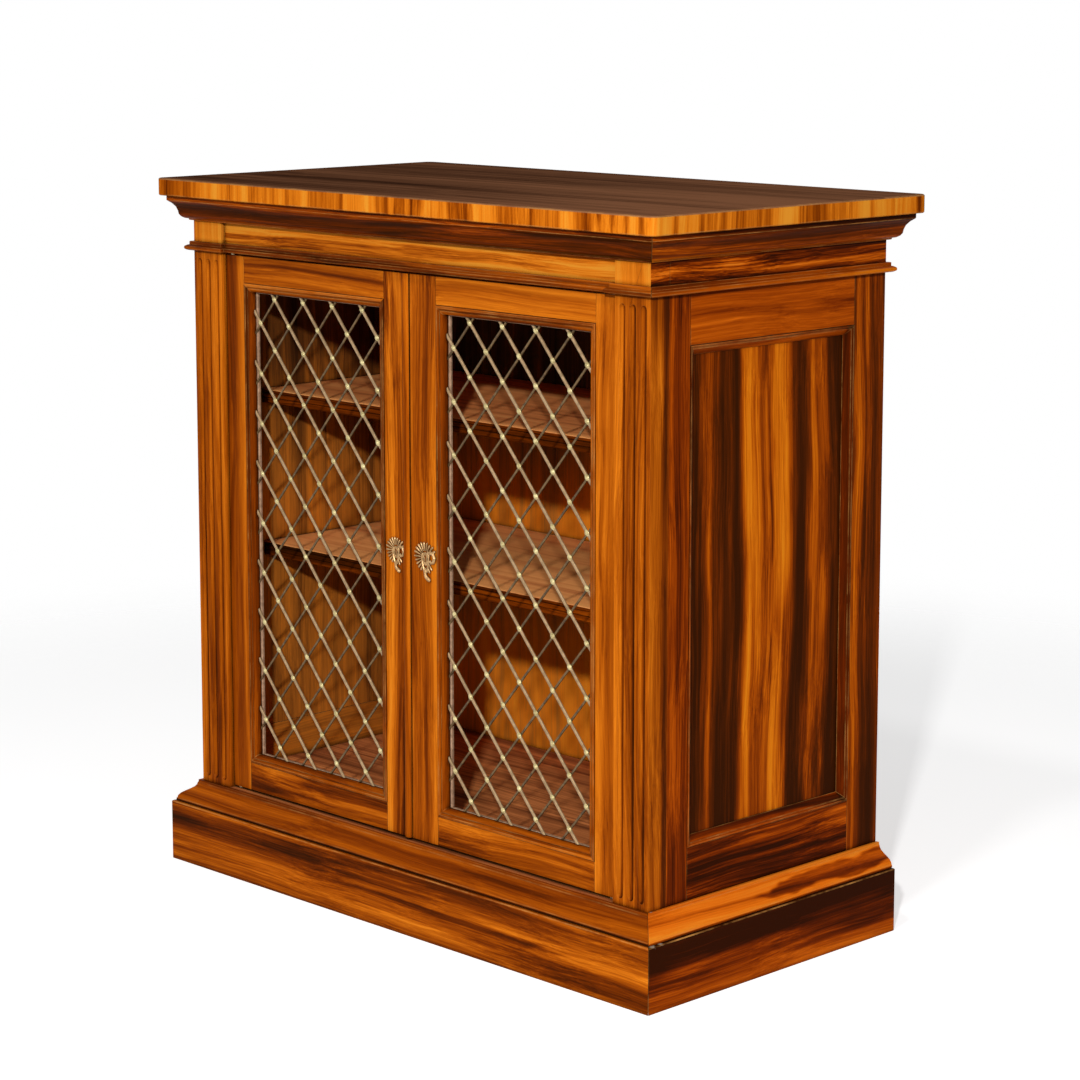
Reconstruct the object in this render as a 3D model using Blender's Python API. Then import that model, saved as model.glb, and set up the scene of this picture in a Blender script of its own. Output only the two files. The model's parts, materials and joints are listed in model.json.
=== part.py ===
"""Low side cabinet with two brass-latticed doors between fluted corner posts.

Metres, +Z up, front towards -Y. The origin is the centre of the footprint on the floor.
"""

from math import cos, hypot, pi, sin

import bmesh
import bpy
from mathutils import Matrix, Vector

# Clearances
GAP = 0.0003  # between two fitted pieces
MITRE_BACK = 0.75 * GAP  # each mitred end is held back this far along its length
RUNNING = 0.0004  # round a sliding or turning metal piece

# Case, outside of the corner posts
CASE_W = 0.806
CASE_D = 0.408
HALF_W = CASE_W / 2
FRONT = -CASE_D / 2
BACK = CASE_D / 2

# Heights of the front's stages, from the floor up
PLINTH_H = 0.0785
PLINTH_MOULD_H = 0.0285
BODY_H = 0.7005
NECKING_H = 0.0115
FRIEZE_H = 0.027
CORNICE_H = 0.0315
TOP_H = 0.0225
Z_BASE = PLINTH_H + PLINTH_MOULD_H
Z_NECK = Z_BASE + BODY_H
Z_CORNICE = Z_NECK + NECKING_H + FRIEZE_H
Z_TOP = Z_CORNICE + CORNICE_H
HEIGHT = Z_TOP + TOP_H

# Top board
TOP_OVERHANG = 0.0345
TOP_CORNER_R = 0.011
TOP_ARRIS = 0.0012

# Plinth
PLINTH_OUT = 0.030
PLINTH_THICK = 0.042
PLINTH_BACK_THICK = 0.021
PLINTH_ARRIS = 0.0008
OGEE_LOW = 0.004  # fillet under the ogee
OGEE_TOP = 0.0035  # fillet over it
OGEE_OUT = (0.0257, 0.0056)
OGEE_STEPS = 7
OGEE_SWING = 0.85  # 0 is a straight splay, 1 a full ogee
FILLET_STEP = 0.0008

# Corner posts
POST_W = 0.0551
POST_D = 0.030
POST_X = HALF_W - POST_W  # inner edge of a post
FLUTE_W = 0.0100
FLUTE_DEPTH = 0.0036
FLUTE_PITCH = 0.0164
FLUTE_Z = (Z_BASE + 0.007, Z_NECK - 0.010)
FLUTE_SIDES = 16
FLUTE_END_ANGLES = (0.30, 0.72, 1.14, pi / 2)

# Frieze rails
FRIEZE_BACK = 0.006  # set back from the posts' faces
RAIL_THICK = 0.022

# Side frames
SIDE_BACK = 0.0008  # set back from the posts' side faces
SIDE_THICK = 0.022
SIDE_FRONT_STILE_W = 0.0353
SIDE_REAR_STILE_W = 0.0565
SIDE_TOP_RAIL_H = 0.0588
SIDE_BOTTOM_RAIL_H = 0.062  # above the plinth moulding
SIDE_PANEL_THICK = 0.013
SIDE_MOULD_W = 0.012
SIDE_SINK = SIDE_THICK - SIDE_PANEL_THICK
SIDE_X = HALF_W - SIDE_BACK
SIDE_IN_X = SIDE_X - SIDE_THICK
SIDE_FRONT_Y = FRONT + POST_D + GAP
SIDE_OPENING_Y = (SIDE_FRONT_Y + SIDE_FRONT_STILE_W, BACK - SIDE_REAR_STILE_W)
SIDE_OPENING_Z = (Z_BASE + SIDE_BOTTOM_RAIL_H, Z_NECK - GAP - SIDE_TOP_RAIL_H)

# Doors
DOOR_BACK = 0.007  # door face behind the posts' faces
DOOR_THICK = 0.022
DOOR_FACE = FRONT + DOOR_BACK
DOOR_REAR = DOOR_FACE + DOOR_THICK
EDGE_GAP = 0.0015
END_GAP = 0.0025
HINGE_STILE_W = 0.0344
MEETING_STILE_W = 0.04525
TOP_RAIL_H = 0.0342
BOTTOM_RAIL_H = 0.0363
MOULD_W = 0.0112
MOULD_BACK = 0.015  # moulding's back, behind the door's face
MEETING_EDGE = EDGE_GAP / 2
HINGE_EDGE = POST_X - EDGE_GAP
DOOR_Z = (Z_BASE + END_GAP, Z_NECK - END_GAP)
FRAME_X = (MEETING_EDGE + MEETING_STILE_W, HINGE_EDGE - HINGE_STILE_W)
FRAME_Z = (DOOR_Z[0] + BOTTOM_RAIL_H, DOOR_Z[1] - TOP_RAIL_H)
SIGHT_X = (FRAME_X[0] + MOULD_W, FRAME_X[1] - MOULD_W)
SIGHT_Z = (FRAME_Z[0] + MOULD_W, FRAME_Z[1] - MOULD_W)

# Floor, back and shelves
FLOOR_RISE = 0.013  # floor above the sill in front of it
FLOOR_THICK = 0.019
FLOOR_BEHIND_DOOR = 0.0053
SILL_LAP = 0.0097  # sill running back under the floor
BACK_PANEL_IN = 0.0025
BACK_PANEL_THICK = 0.012
LOWER_SPACE = 0.280
MIDDLE_SPACE = 0.185
SHELF_THICK = 0.018
SHELF_IN = 0.091  # shelf fronts behind the posts' faces
SHELF_HOUSING = 0.005
FLOOR_Z = Z_BASE + FLOOR_RISE
FLOOR_FRONT = DOOR_REAR + FLOOR_BEHIND_DOOR
SILL_BACK = FLOOR_FRONT + SILL_LAP
BACK_PANEL_Y = (BACK - BACK_PANEL_IN - BACK_PANEL_THICK, BACK - BACK_PANEL_IN)
SHELF_FRONT = FRONT + SHELF_IN
LOWER_SHELF_Z = FLOOR_Z + LOWER_SPACE + SHELF_THICK
UPPER_SHELF_Z = LOWER_SHELF_Z + MIDDLE_SPACE + SHELF_THICK
SHELF_TOPS = {"shelf_lower": LOWER_SHELF_Z, "shelf_upper": UPPER_SHELF_Z}
# Front edge of a shelf as (behind the front, below its top): two grooves
SHELF_REEDS = (
    (0.0010, 0),
    (0, 0.0010),
    (0, 0.0040),
    (0.0014, 0.0048),
    (0, 0.0056),
    (0, 0.0102),
    (0.0014, 0.0110),
    (0, 0.0118),
    (0, SHELF_THICK - 0.0008),
    (0.0008, SHELF_THICK),
)

# Pivot hinges
PIVOT_IN = 0.009  # axis in from the door's hinge edge
PIVOT_BEHIND = 0.005  # axis behind the door's face
PIVOT_X = HINGE_EDGE - PIVOT_IN
PIVOT_Y = DOOR_FACE + PIVOT_BEHIND
PIN_R = 0.003
PIN_OUT = 0.010  # pin into the sill or the rail
COLLAR_R = 0.0038
PLATE_X = (-0.0205, 0.0045)  # towards the door's middle and towards its edge
PLATE_Y = (-0.0042, 0.0070)  # before and behind the axis
PLATE_THICK = 0.0025
PIN_SIDES = 12

# Lattice
COLUMN = 0.02775
ROW = 0.0322
FIRST_COLUMN = 0.0125  # first column of bosses inside the sight edge
LATTICE_DROP = 0.0066  # first row of bosses below the sight edge
BAR_W = 0.0035  # bar round the lattice, inside the sight edge
BAR_DEPTH = (0.0076, 0.0116)
FRONT_ROD_W = 0.0040
FRONT_ROD_DEPTH = (0.0062, 0.0080)
REAR_ROD_W = 0.0028
REAR_ROD_DEPTH = (0.0077, 0.0092)
ROD_SHORT = 0.0023  # rods end over the bar, short of the sight edge
SHORTEST_ROD = 0.3  # in rows
BOSS_BASE = (0.0042, 0.0034)
BOSS_CROWN = (0.0024, 0.0018)
BOSS_DEPTH = (0.0050, 0.0068)
BOSS_ROOM = 0.0058  # from a boss's middle to the sight edge at least
LATTICE_TOP_Z = SIGHT_Z[1] - LATTICE_DROP
LAST_COLUMN = int((SIGHT_X[1] - SIGHT_X[0] - FIRST_COLUMN - BOSS_ROOM) / COLUMN)
LAST_ROW = int((LATTICE_TOP_Z - SIGHT_Z[0] - BOSS_ROOM) / ROW)

# Lock, bolts and escutcheons
LOCK_Z = 0.456
LOCK_IN = 0.00325  # lock case in from the door's meeting edge
LOCK_W = 0.036
LOCK_HALF_H = 0.027
LOCK_DEPTH = 0.0115
BOLT_LENGTH = 0.0174
BOLT_THICK = 0.006
BOLT_SHY = 0.00085  # bolt's end inside the meeting edge
BOLT_FROM_REAR = 0.0025
BOLT_HALF_H = 0.007
BOLT_THROW = 0.008
KEY_IN = 0.02325  # keyhole in from the meeting edge
KEY_R = 0.0024
KEY_SLOT_HALF = 0.0011
KEY_SLOT_Z = -0.0075
KEY_STEPS = 6
BLIND_KEY = 0.006
FLUSH_W = 0.005
FLUSH_THICK = 0.007
FLUSH_LENGTH = 0.1045
FLUSH_SHY = 0.00045
FLUSH_BEHIND = 0.0075  # behind the door's face
FLUSH_THROW = 0.010
FLUSH_BELOW = 0.0005  # its top below the door's top
NOTCH_Z = (0.008, 0.020)
NOTCH_RIM = 0.0012
NOTCH_DEEP = 0.0025
BEAD_W = 0.0108
BEAD_PROUD = 0.0036
BEAD_LIP = 0.0006
BEAD_STEPS = 6
PLATE_PROUD = 0.0016
LEFT_PLATE_SCALE = 0.9
LEFT_PLATE_IN = 0.02765  # keyhole in from the left door's meeting edge
LOCK_X = (MEETING_EDGE + LOCK_IN, MEETING_EDGE + LOCK_IN + LOCK_W)
BOLT_X = (MEETING_EDGE + BOLT_SHY, MEETING_EDGE + BOLT_SHY + BOLT_LENGTH)
BOLT_Y = (DOOR_REAR - BOLT_FROM_REAR - BOLT_THICK, DOOR_REAR - BOLT_FROM_REAR)
KEY_X = MEETING_EDGE + KEY_IN
LEFT_PLATE_X = -MEETING_EDGE - LEFT_PLATE_IN
FLUSH_X = (-MEETING_EDGE - FLUSH_SHY - FLUSH_W, -MEETING_EDGE - FLUSH_SHY)
FLUSH_Y = (DOOR_FACE + FLUSH_BEHIND, DOOR_FACE + FLUSH_BEHIND + FLUSH_THICK)
FLUSH_Z = (DOOR_Z[1] - FLUSH_BELOW - FLUSH_LENGTH, DOOR_Z[1] - FLUSH_BELOW)

# Sections as (outwards, height)
NECKING = (
    (GAP, 0),
    (0.0065, 0),
    (0.0092, 0.0014),
    (0.0098, 0.0034),
    (0.0092, 0.0054),
    (0.0065, 0.0068),
    (0.0046, 0.0072),
    (0.0046, NECKING_H),
    (GAP, NECKING_H),
)
CORNICE = (
    (GAP, 0),
    (0.0047, 0),
    (0.0047, 0.0018),
    (0.0086, 0.0026),
    (0.0118, 0.0046),
    (0.0139, 0.0076),
    (0.0146, 0.0118),
    (0.0164, 0.0170),
    (0.0201, 0.0217),
    (0.0248, 0.0254),
    (0.0248, CORNICE_H - GAP),
    (GAP, CORNICE_H - GAP),
)
# Sections as (inwards from the outer edge, behind the face)
DOOR_MOULD = (
    (GAP, MOULD_BACK),
    (GAP, -0.0004),
    (0.0010, -0.0013),
    (0.0032, -0.0014),
    (0.0050, 0.0000),
    (0.0058, 0.0014),
    (0.0066, 0.0004),
    (0.0084, 0.0006),
    (0.0102, 0.0020),
    (MOULD_W, 0.0048),
    (MOULD_W, MOULD_BACK),
)
SIDE_MOULD = (
    (GAP, SIDE_SINK - GAP),
    (GAP, -0.0004),
    (0.0009, -0.0013),
    (0.0023, -0.0013),
    (0.0031, 0.0002),
    (0.0038, 0.0010),
    (0.0048, 0.0006),
    (0.0078, 0.0030),
    (0.0106, 0.0066),
    (SIDE_MOULD_W, 0.0078),
    (SIDE_MOULD_W, SIDE_SINK - GAP),
)
# Outline of the escutcheon from its keyhole: right, up
ESCUTCHEON = (
    (-0.006, 0.019),
    (0.0015, 0.0195),
    (0.009, 0.020),
    (0.0145, 0.015),
    (0.0165, 0.009),
    (0.0183, 0),
    (0.0155, -0.0055),
    (0.0085, -0.0075),
    (0.0115, -0.013),
    (0.0095, -0.019),
    (0.006, -0.0225),
    (0.0105, -0.027),
    (0.008, -0.0308),
    (0.0025, -0.029),
    (-0.002, -0.024),
    (-0.006, -0.019),
    (-0.0095, -0.013),
    (-0.0125, -0.0065),
    (-0.0155, 0),
    (-0.0185, 0.006),
    (-0.0195, 0.012),
    (-0.0135, 0.0165),
)
SCALLOP_DEPTH = 0.0023  # how far each notch of the outline goes in
SCALLOP_ABOVE = -0.008
SLIT_ANGLES = (52, 98, 122, 146, 170)
SLIT_R = (0.0075, 0.0130)
SLIT_HALF = 0.00055

WALNUT = (0.50, 0.17, 0.03)
DARK = (0.22, 0.07, 0.03)
TOP_BROWN = (0.16, 0.08, 0.05)
INNER = (0.28, 0.12, 0.05)
BRASS = (0.62, 0.50, 0.30)


def collection(name, hidden=False):
    made = bpy.data.collections.new(name)
    bpy.context.scene.collection.children.link(made)
    made.hide_render = hidden
    return made


def look(name, colour, metallic=0.0, roughness=0.35):
    made = bpy.data.materials.new(name)
    made.use_nodes = True
    shader = made.node_tree.nodes["Principled BSDF"]
    shader.inputs["Base Color"].default_value = (*colour, 1)
    shader.inputs["Metallic"].default_value = metallic
    shader.inputs["Roughness"].default_value = roughness
    made.diffuse_color = (*colour, 1)
    return made


def add(name, bm, colour):
    """The mesh as a named piece with its own material."""
    bmesh.ops.recalc_face_normals(bm, faces=bm.faces)
    mesh = bpy.data.meshes.new(name)
    bm.to_mesh(mesh)
    bm.free()
    piece = bpy.data.objects.new(name, mesh)
    metal = colour is BRASS
    mesh.materials.append(look(name, colour, 1.0 if metal else 0.0, 0.3 if metal else 0.35))
    PIECES.objects.link(piece)
    return piece


def add_tool(name, bm):
    """The mesh as a hidden cutter or as a solid to be joined."""
    bmesh.ops.recalc_face_normals(bm, faces=bm.faces)
    mesh = bpy.data.meshes.new(name)
    bm.to_mesh(mesh)
    bm.free()
    tool = bpy.data.objects.new(name, mesh)
    tool.hide_render = True
    tool.display_type = "WIRE"
    TOOLS.objects.link(tool)
    return tool


def combine(piece, operation, bm):
    modifier = piece.modifiers.new(operation.lower(), "BOOLEAN")
    modifier.operation = operation
    modifier.solver = "EXACT"
    modifier.object = add_tool(f"{piece.name}_{operation.lower()}_{len(piece.modifiers)}", bm)


def put_box(bm, x, y, z):
    """One box between the two limits of each axis."""
    corners = [bm.verts.new((a, b, c)) for a in sorted(x) for b in sorted(y) for c in sorted(z)]
    for face in ((0, 1, 3, 2), (4, 6, 7, 5), (0, 4, 5, 1), (2, 3, 7, 6), (0, 2, 6, 4), (1, 5, 7, 3)):
        bm.faces.new([corners[i] for i in face])


def boxes(*limits):
    bm = bmesh.new()
    for x, y, z in limits:
        put_box(bm, x, y, z)
    return bm


def rings(rows, closed=False, bm=None):
    """A solid skinned over equal rings of points, with its ends capped unless it closes on itself."""
    bm = bm or bmesh.new()
    made = [[bm.verts.new(point) for point in row] for row in rows]
    count = len(made[0])
    pairs = list(zip(made, made[1:]))
    if closed:
        pairs.append((made[-1], made[0]))
    else:
        bm.faces.new(made[0][::-1])
        bm.faces.new(made[-1])
    for low, high in pairs:
        for i in range(count):
            j = (i + 1) % count
            bm.faces.new((low[i], low[j], high[j], high[i]))
    return bm


def put_drum(bm, x, y, z, radius, sides):
    """An upright cylinder between two heights."""
    low, high = sorted(z)
    made = bmesh.ops.create_cone(
        bm, cap_ends=True, segments=sides, radius1=radius, radius2=radius, depth=high - low
    )
    bmesh.ops.translate(bm, verts=made["verts"], vec=(x, y, (low + high) / 2))


def length_of(section, x):
    """A solid of one section in Y and Z, run along X."""
    return rings([[(a, y, z) for y, z in section] for a in x])


def run(path, section, floor, start=None, end=None):
    """A section run round a plan path, mitred at its bends and, where a direction is given, at its ends."""
    points = [Vector(point) for point in path]
    ways = [(b - a).normalized() for a, b in zip(points, points[1:])]
    rows = []
    for i, point in enumerate(points):
        before = ways[i - 1] if i else Vector(start or ways[0])
        after = ways[i] if i < len(ways) else Vector(end or ways[-1])
        one = Vector((before.y, -before.x))
        two = Vector((after.y, -after.x))
        lean = (one + two) / (1 + one.dot(two))
        if i == 0 and start:
            point = point + after * MITRE_BACK
        if i == len(ways) and end:
            point = point - before * MITRE_BACK
        rows.append([(*(point + lean * out), floor + up) for out, up in section])
    return rings(rows)


def mitred_frame(section, across, up, place):
    """A section run round the inside of a rectangle: place maps across, up and depth to a point."""
    rows = []
    for i, j, a, b in ((0, 0, 1, 1), (1, 0, -1, 1), (1, 1, -1, -1), (0, 1, 1, -1)):
        corner = []
        for inward, deep in section:
            corner.append(place(across[i] + a * inward, up[j] + b * inward, deep))
        rows.append(corner)
    return rings(rows, closed=True)


def flip(side, limits):
    return tuple(sorted(side * value for value in limits))


def make_top():
    half = HALF_W + TOP_OVERHANG
    bm = boxes(((-half, half), (FRONT - TOP_OVERHANG, BACK + TOP_OVERHANG), (Z_TOP + GAP, HEIGHT)))
    upright = [edge for edge in bm.edges if abs(edge.verts[0].co.z - edge.verts[1].co.z) > GAP]
    bmesh.ops.bevel(bm, geom=upright, offset=TOP_CORNER_R, segments=5, profile=0.5, affect="EDGES")
    rim = [edge for edge in bm.edges if abs(edge.verts[0].co.z - edge.verts[1].co.z) < GAP]
    bmesh.ops.bevel(bm, geom=rim, offset=TOP_ARRIS, segments=1, profile=0.5, affect="EDGES")
    add("top_board", bm, TOP_BROWN)


def plan_runs():
    """Each side of the case as name, path, way in and way out, going round anticlockwise from the front."""
    front_left, front_right = (-HALF_W, FRONT), (HALF_W, FRONT)
    back_right, back_left = (HALF_W, BACK), (-HALF_W, BACK)
    return {
        "front": ((front_left, front_right), (0, -1), (0, 1)),
        "right": ((front_right, back_right), (1, 0), (-1, 0)),
        "back": ((back_right, back_left), (0, 1), (0, -1)),
        "left": ((back_left, front_left), (-1, 0), (1, 0)),
    }


def make_mouldings():
    set_back = FRONT + FRIEZE_BACK
    broken = (
        (-HALF_W, FRONT),
        (-POST_X, FRONT),
        (-POST_X, set_back),
        (POST_X, set_back),
        (POST_X, FRONT),
        (HALF_W, FRONT),
    )
    for name, (path, way_in, way_out) in plan_runs().items():
        add(f"cornice_{name}", run(path, CORNICE, Z_CORNICE, way_in, way_out), DARK)
        path = broken if name == "front" else path
        add(f"necking_{name}", run(path, NECKING, Z_NECK, way_in, way_out), WALNUT)


def plinth_section():
    """Moulding over the plinth: a low fillet, an ogee and a narrow top fillet."""
    low, high, (wide, narrow) = OGEE_LOW, PLINTH_MOULD_H - OGEE_TOP, OGEE_OUT
    start = wide - FILLET_STEP
    points = [(GAP, GAP), (wide, GAP), (wide, low - FILLET_STEP / 2)]
    for i in range(OGEE_STEPS + 1):
        t = i / OGEE_STEPS
        out = start + (narrow - start) * (t - OGEE_SWING * sin(2 * pi * t) / (2 * pi))
        points.append((out, low + (high - low) * t))
    fillet = narrow - FILLET_STEP
    return points + [(fillet, high + FILLET_STEP / 2), (fillet, PLINTH_MOULD_H), (GAP, PLINTH_MOULD_H)]


def make_plinth():
    deep, out, arris = PLINTH_OUT - PLINTH_THICK, PLINTH_OUT, PLINTH_ARRIS
    board = ((deep, 0), (out, 0), (out, PLINTH_H - arris), (out - arris, PLINTH_H), (deep, PLINTH_H))
    section = plinth_section()
    for name, (path, way_in, way_out) in plan_runs().items():
        if name == "back":
            inner = HALF_W + PLINTH_OUT - PLINTH_THICK - GAP
            box = ((-inner, inner), (BACK - PLINTH_BACK_THICK, BACK), (0, PLINTH_H))
            add("plinth_back", boxes(box), DARK)
            continue
        way_in = None if name == "left" else way_in
        way_out = None if name == "right" else way_out
        add(f"plinth_{name}", run(path, board, 0, way_in, way_out), WALNUT)
        add(f"plinth_moulding_{name}", run(path, section, PLINTH_H, way_in, way_out), WALNUT)


def flutes(side):
    """Three round-ended channels down a post's face."""
    bm = bmesh.new()
    radius = (FLUTE_W**2 / 4 + FLUTE_DEPTH**2) / (2 * FLUTE_DEPTH)
    y = FRONT - radius + FLUTE_DEPTH
    low, high = FLUTE_Z[0] + FLUTE_W / 2, FLUTE_Z[1] - FLUTE_W / 2
    levels = [(low - radius * cos(a), radius * sin(a)) for a in FLUTE_END_ANGLES]
    levels += [(high + radius * cos(a), radius * sin(a)) for a in FLUTE_END_ANGLES[::-1]]
    turns = [2 * pi * k / FLUTE_SIDES for k in range(FLUTE_SIDES)]
    middle = (POST_X + HALF_W) / 2
    for i in range(3):
        x = side * (middle + (i - 1) * FLUTE_PITCH)
        rings([[(x + r * cos(t), y + r * sin(t), z) for t in turns] for z, r in levels], bm=bm)
    return bm


def make_posts():
    for name, side in (("left", -1), ("right", 1)):
        solid = boxes((flip(side, (POST_X, HALF_W)), (FRONT, FRONT + POST_D), (PLINTH_H + GAP, Z_TOP)))
        combine(add(f"post_{name}", solid, WALNUT), "DIFFERENCE", flutes(side))


def pin_holes(level):
    """Holes for the doors' pins, cut into the face at this level."""
    bm = bmesh.new()
    for side in (-1, 1):
        z = (level - PIN_OUT, level + PIN_OUT)
        put_drum(bm, side * PIVOT_X, PIVOT_Y, z, PIN_R + RUNNING, PIN_SIDES)
    return bm


def make_frieze():
    lip = FRONT + GAP
    face = FRONT + FRIEZE_BACK
    rear = face + RAIL_THICK
    section = (
        (rear, Z_NECK),
        (face, Z_NECK),
        (face, Z_CORNICE),
        (lip, Z_CORNICE),
        (lip, Z_TOP),
        (rear, Z_TOP),
    )
    front = add("frieze_front", length_of(section, (GAP - POST_X, POST_X - GAP)), WALNUT)
    holes = pin_holes(Z_NECK)
    socket = [(low - RUNNING, high + RUNNING) for low, high in (FLUSH_X, FLUSH_Y)]
    put_box(holes, *socket, (Z_NECK - FLUSH_THROW, Z_NECK + FLUSH_THROW))
    combine(front, "DIFFERENCE", holes)
    y = (SIDE_FRONT_Y, BACK)
    z = (Z_NECK, Z_TOP)
    for name, side in (("left", -1), ("right", 1)):
        add(f"frieze_{name}", boxes((flip(side, (HALF_W - RAIL_THICK, HALF_W)), y, z)), WALNUT)
    inner = HALF_W - RAIL_THICK - GAP
    add("frieze_back", boxes(((-inner, inner), (BACK - RAIL_THICK, BACK), z)), DARK)


def make_sides():
    low_y, high_y = SIDE_OPENING_Y
    low_z, high_z = SIDE_OPENING_Z
    bottom, top = PLINTH_H + GAP, Z_NECK - GAP
    for name, side in (("left", -1), ("right", 1)):
        x = flip(side, (SIDE_IN_X, SIDE_X))
        solids = {
            "front_stile": (x, (SIDE_FRONT_Y, low_y), (bottom, top)),
            "rear_stile": (x, (high_y, BACK), (bottom, top)),
            "top_rail": (x, (low_y + GAP, high_y - GAP), (high_z, top)),
            "bottom_rail": (x, (low_y + GAP, high_y - GAP), (bottom, low_z)),
            "panel": (
                flip(side, (SIDE_IN_X, SIDE_IN_X + SIDE_PANEL_THICK)),
                (low_y + GAP, high_y - GAP),
                (low_z + GAP, high_z - GAP),
            ),
        }
        for part, limits in solids.items():
            piece = add(f"side_{name}_{part}", boxes(limits), WALNUT)
            if part in ("panel", "rear_stile"):
                combine(piece, "DIFFERENCE", housings(side))

        def on_side(across, up, deep, s=side):
            return s * (SIDE_X - deep), across, up

        frame = mitred_frame(SIDE_MOULD, SIDE_OPENING_Y, SIDE_OPENING_Z, on_side)
        add(f"side_{name}_moulding", frame, WALNUT)


def housings(side):
    """Grooves in a side's inner face that the shelves' ends rest in."""
    x = flip(side, (SIDE_IN_X - SHELF_HOUSING, SIDE_IN_X + SHELF_HOUSING + GAP))
    y = (SHELF_FRONT - GAP, BACK_PANEL_Y[0] + GAP)
    return boxes(*((x, y, (top - SHELF_THICK - GAP, top + GAP)) for top in SHELF_TOPS.values()))


def make_inside():
    inner = SIDE_IN_X - GAP
    sill = POST_X - GAP
    bottom = add(
        "case_bottom",
        boxes(((-sill, sill), (FRONT, SILL_BACK), (PLINTH_H + GAP, Z_BASE))),
        INNER,
    )
    floor = boxes(((-inner, inner), (FLOOR_FRONT, BACK_PANEL_Y[0] - GAP), (FLOOR_Z - FLOOR_THICK, FLOOR_Z)))
    combine(bottom, "UNION", floor)
    combine(bottom, "DIFFERENCE", pin_holes(Z_BASE))
    add("back_panel", boxes(((-inner, inner), BACK_PANEL_Y, (PLINTH_H + GAP, Z_NECK - GAP))), INNER)
    rear = BACK_PANEL_Y[0] - GAP
    end = SIDE_IN_X + SHELF_HOUSING
    for name, top in SHELF_TOPS.items():
        reeds = [(SHELF_FRONT + back, top - down) for back, down in SHELF_REEDS]
        section = [(rear, top), *reeds, (rear, top - SHELF_THICK)]
        add(name, length_of(section, (-end, end)), INNER)


def hung(pieces, name, place):
    """The pieces of one door or bolt on an empty that stands on its joint's axis."""
    empty = bpy.data.objects.new(name, None)
    empty.location = place
    PIECES.objects.link(empty)
    for piece in pieces:
        piece.parent = empty
        piece.matrix_parent_inverse = Matrix.Translation(-Vector(place))
    return empty


def make_door(name, side):
    """One framed door with its lattice, its two pivots and its escutcheon."""
    y = (DOOR_FACE, DOOR_REAR)
    low_z, high_z = FRAME_Z
    rail = (FRAME_X[0] + GAP, FRAME_X[1] - GAP)
    solids = {
        "hinge_stile": ((FRAME_X[1], HINGE_EDGE), y, DOOR_Z),
        "meeting_stile": ((MEETING_EDGE, FRAME_X[0]), y, DOOR_Z),
        "top_rail": (rail, y, (high_z, DOOR_Z[1])),
        "bottom_rail": (rail, y, (DOOR_Z[0], low_z)),
    }
    pieces = {}
    for part, (x, deep, z) in solids.items():
        pieces[part] = add(f"door_{name}_{part}", boxes((flip(side, x), deep, z)), WALNUT)
    combine(pieces["hinge_stile"], "DIFFERENCE", pivot_recesses(side))
    for recess in meeting_recesses(side):
        combine(pieces["meeting_stile"], "DIFFERENCE", recess)
    frame = mitred_frame(DOOR_MOULD, FRAME_X, FRAME_Z, lambda a, up, deep: (side * a, DOOR_FACE + deep, up))
    pieces["moulding"] = add(f"door_{name}_moulding", frame, WALNUT)
    pieces["grille"] = make_grille(name, side)
    pieces["escutcheon"] = make_escutcheon(name, side)
    for end in ("top", "bottom"):
        pieces[end] = make_pivot(name, side, end)
    return list(pieces.values())


def pivot_plate(side, end, slack):
    """Limits of the plate let into a door's end; slack grows it into its recess."""
    edge = DOOR_Z[1] if end == "top" else DOOR_Z[0]
    inwards = -1 if end == "top" else 1
    x = (PIVOT_X + PLATE_X[0] - slack, PIVOT_X + PLATE_X[1] + slack)
    y = (PIVOT_Y + PLATE_Y[0] - slack, PIVOT_Y + PLATE_Y[1] + slack)
    return flip(side, x), y, sorted((edge - inwards * slack, edge + inwards * (PLATE_THICK + slack)))


def pivot_recesses(side):
    return boxes(*(pivot_plate(side, end, GAP) for end in ("top", "bottom")))


def make_pivot(name, side, end):
    """Plate, thrust collar and pin of one centre hinge."""
    edge = DOOR_Z[1] if end == "top" else DOOR_Z[0]
    seat = Z_NECK if end == "top" else Z_BASE
    outwards = 1 if end == "top" else -1
    pivot = add(f"pivot_{name}_{end}", boxes(pivot_plate(side, end, 0)), BRASS)
    inside = edge - outwards * PLATE_THICK / 2
    collar = bmesh.new()
    put_drum(collar, side * PIVOT_X, PIVOT_Y, (inside, seat - outwards * GAP), COLLAR_R, PIN_SIDES)
    combine(pivot, "UNION", collar)
    pin = bmesh.new()
    tip = seat + outwards * (PIN_OUT - 2 * GAP)
    put_drum(pin, side * PIVOT_X, PIVOT_Y, (inside - outwards * GAP, tip), PIN_R, PIN_SIDES)
    combine(pivot, "UNION", pin)
    return pivot


def key_outline():
    """A keyhole about its own centre: a round top with a slot below it."""
    turns = [pi * k / KEY_STEPS for k in range(KEY_STEPS + 1)]
    outline = [(KEY_R * cos(t), KEY_R * sin(t)) for t in turns]
    outline += [(-KEY_SLOT_HALF, -KEY_R), (-KEY_SLOT_HALF, KEY_SLOT_Z)]
    return outline + [(KEY_SLOT_HALF, KEY_SLOT_Z), (KEY_SLOT_HALF, -KEY_R)]


def keyhole(x, y):
    """A keyhole's cutter between two depths."""
    return rings([[(x + a, deep, LOCK_Z + b) for a, b in key_outline()] for deep in sorted(y)])


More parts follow.
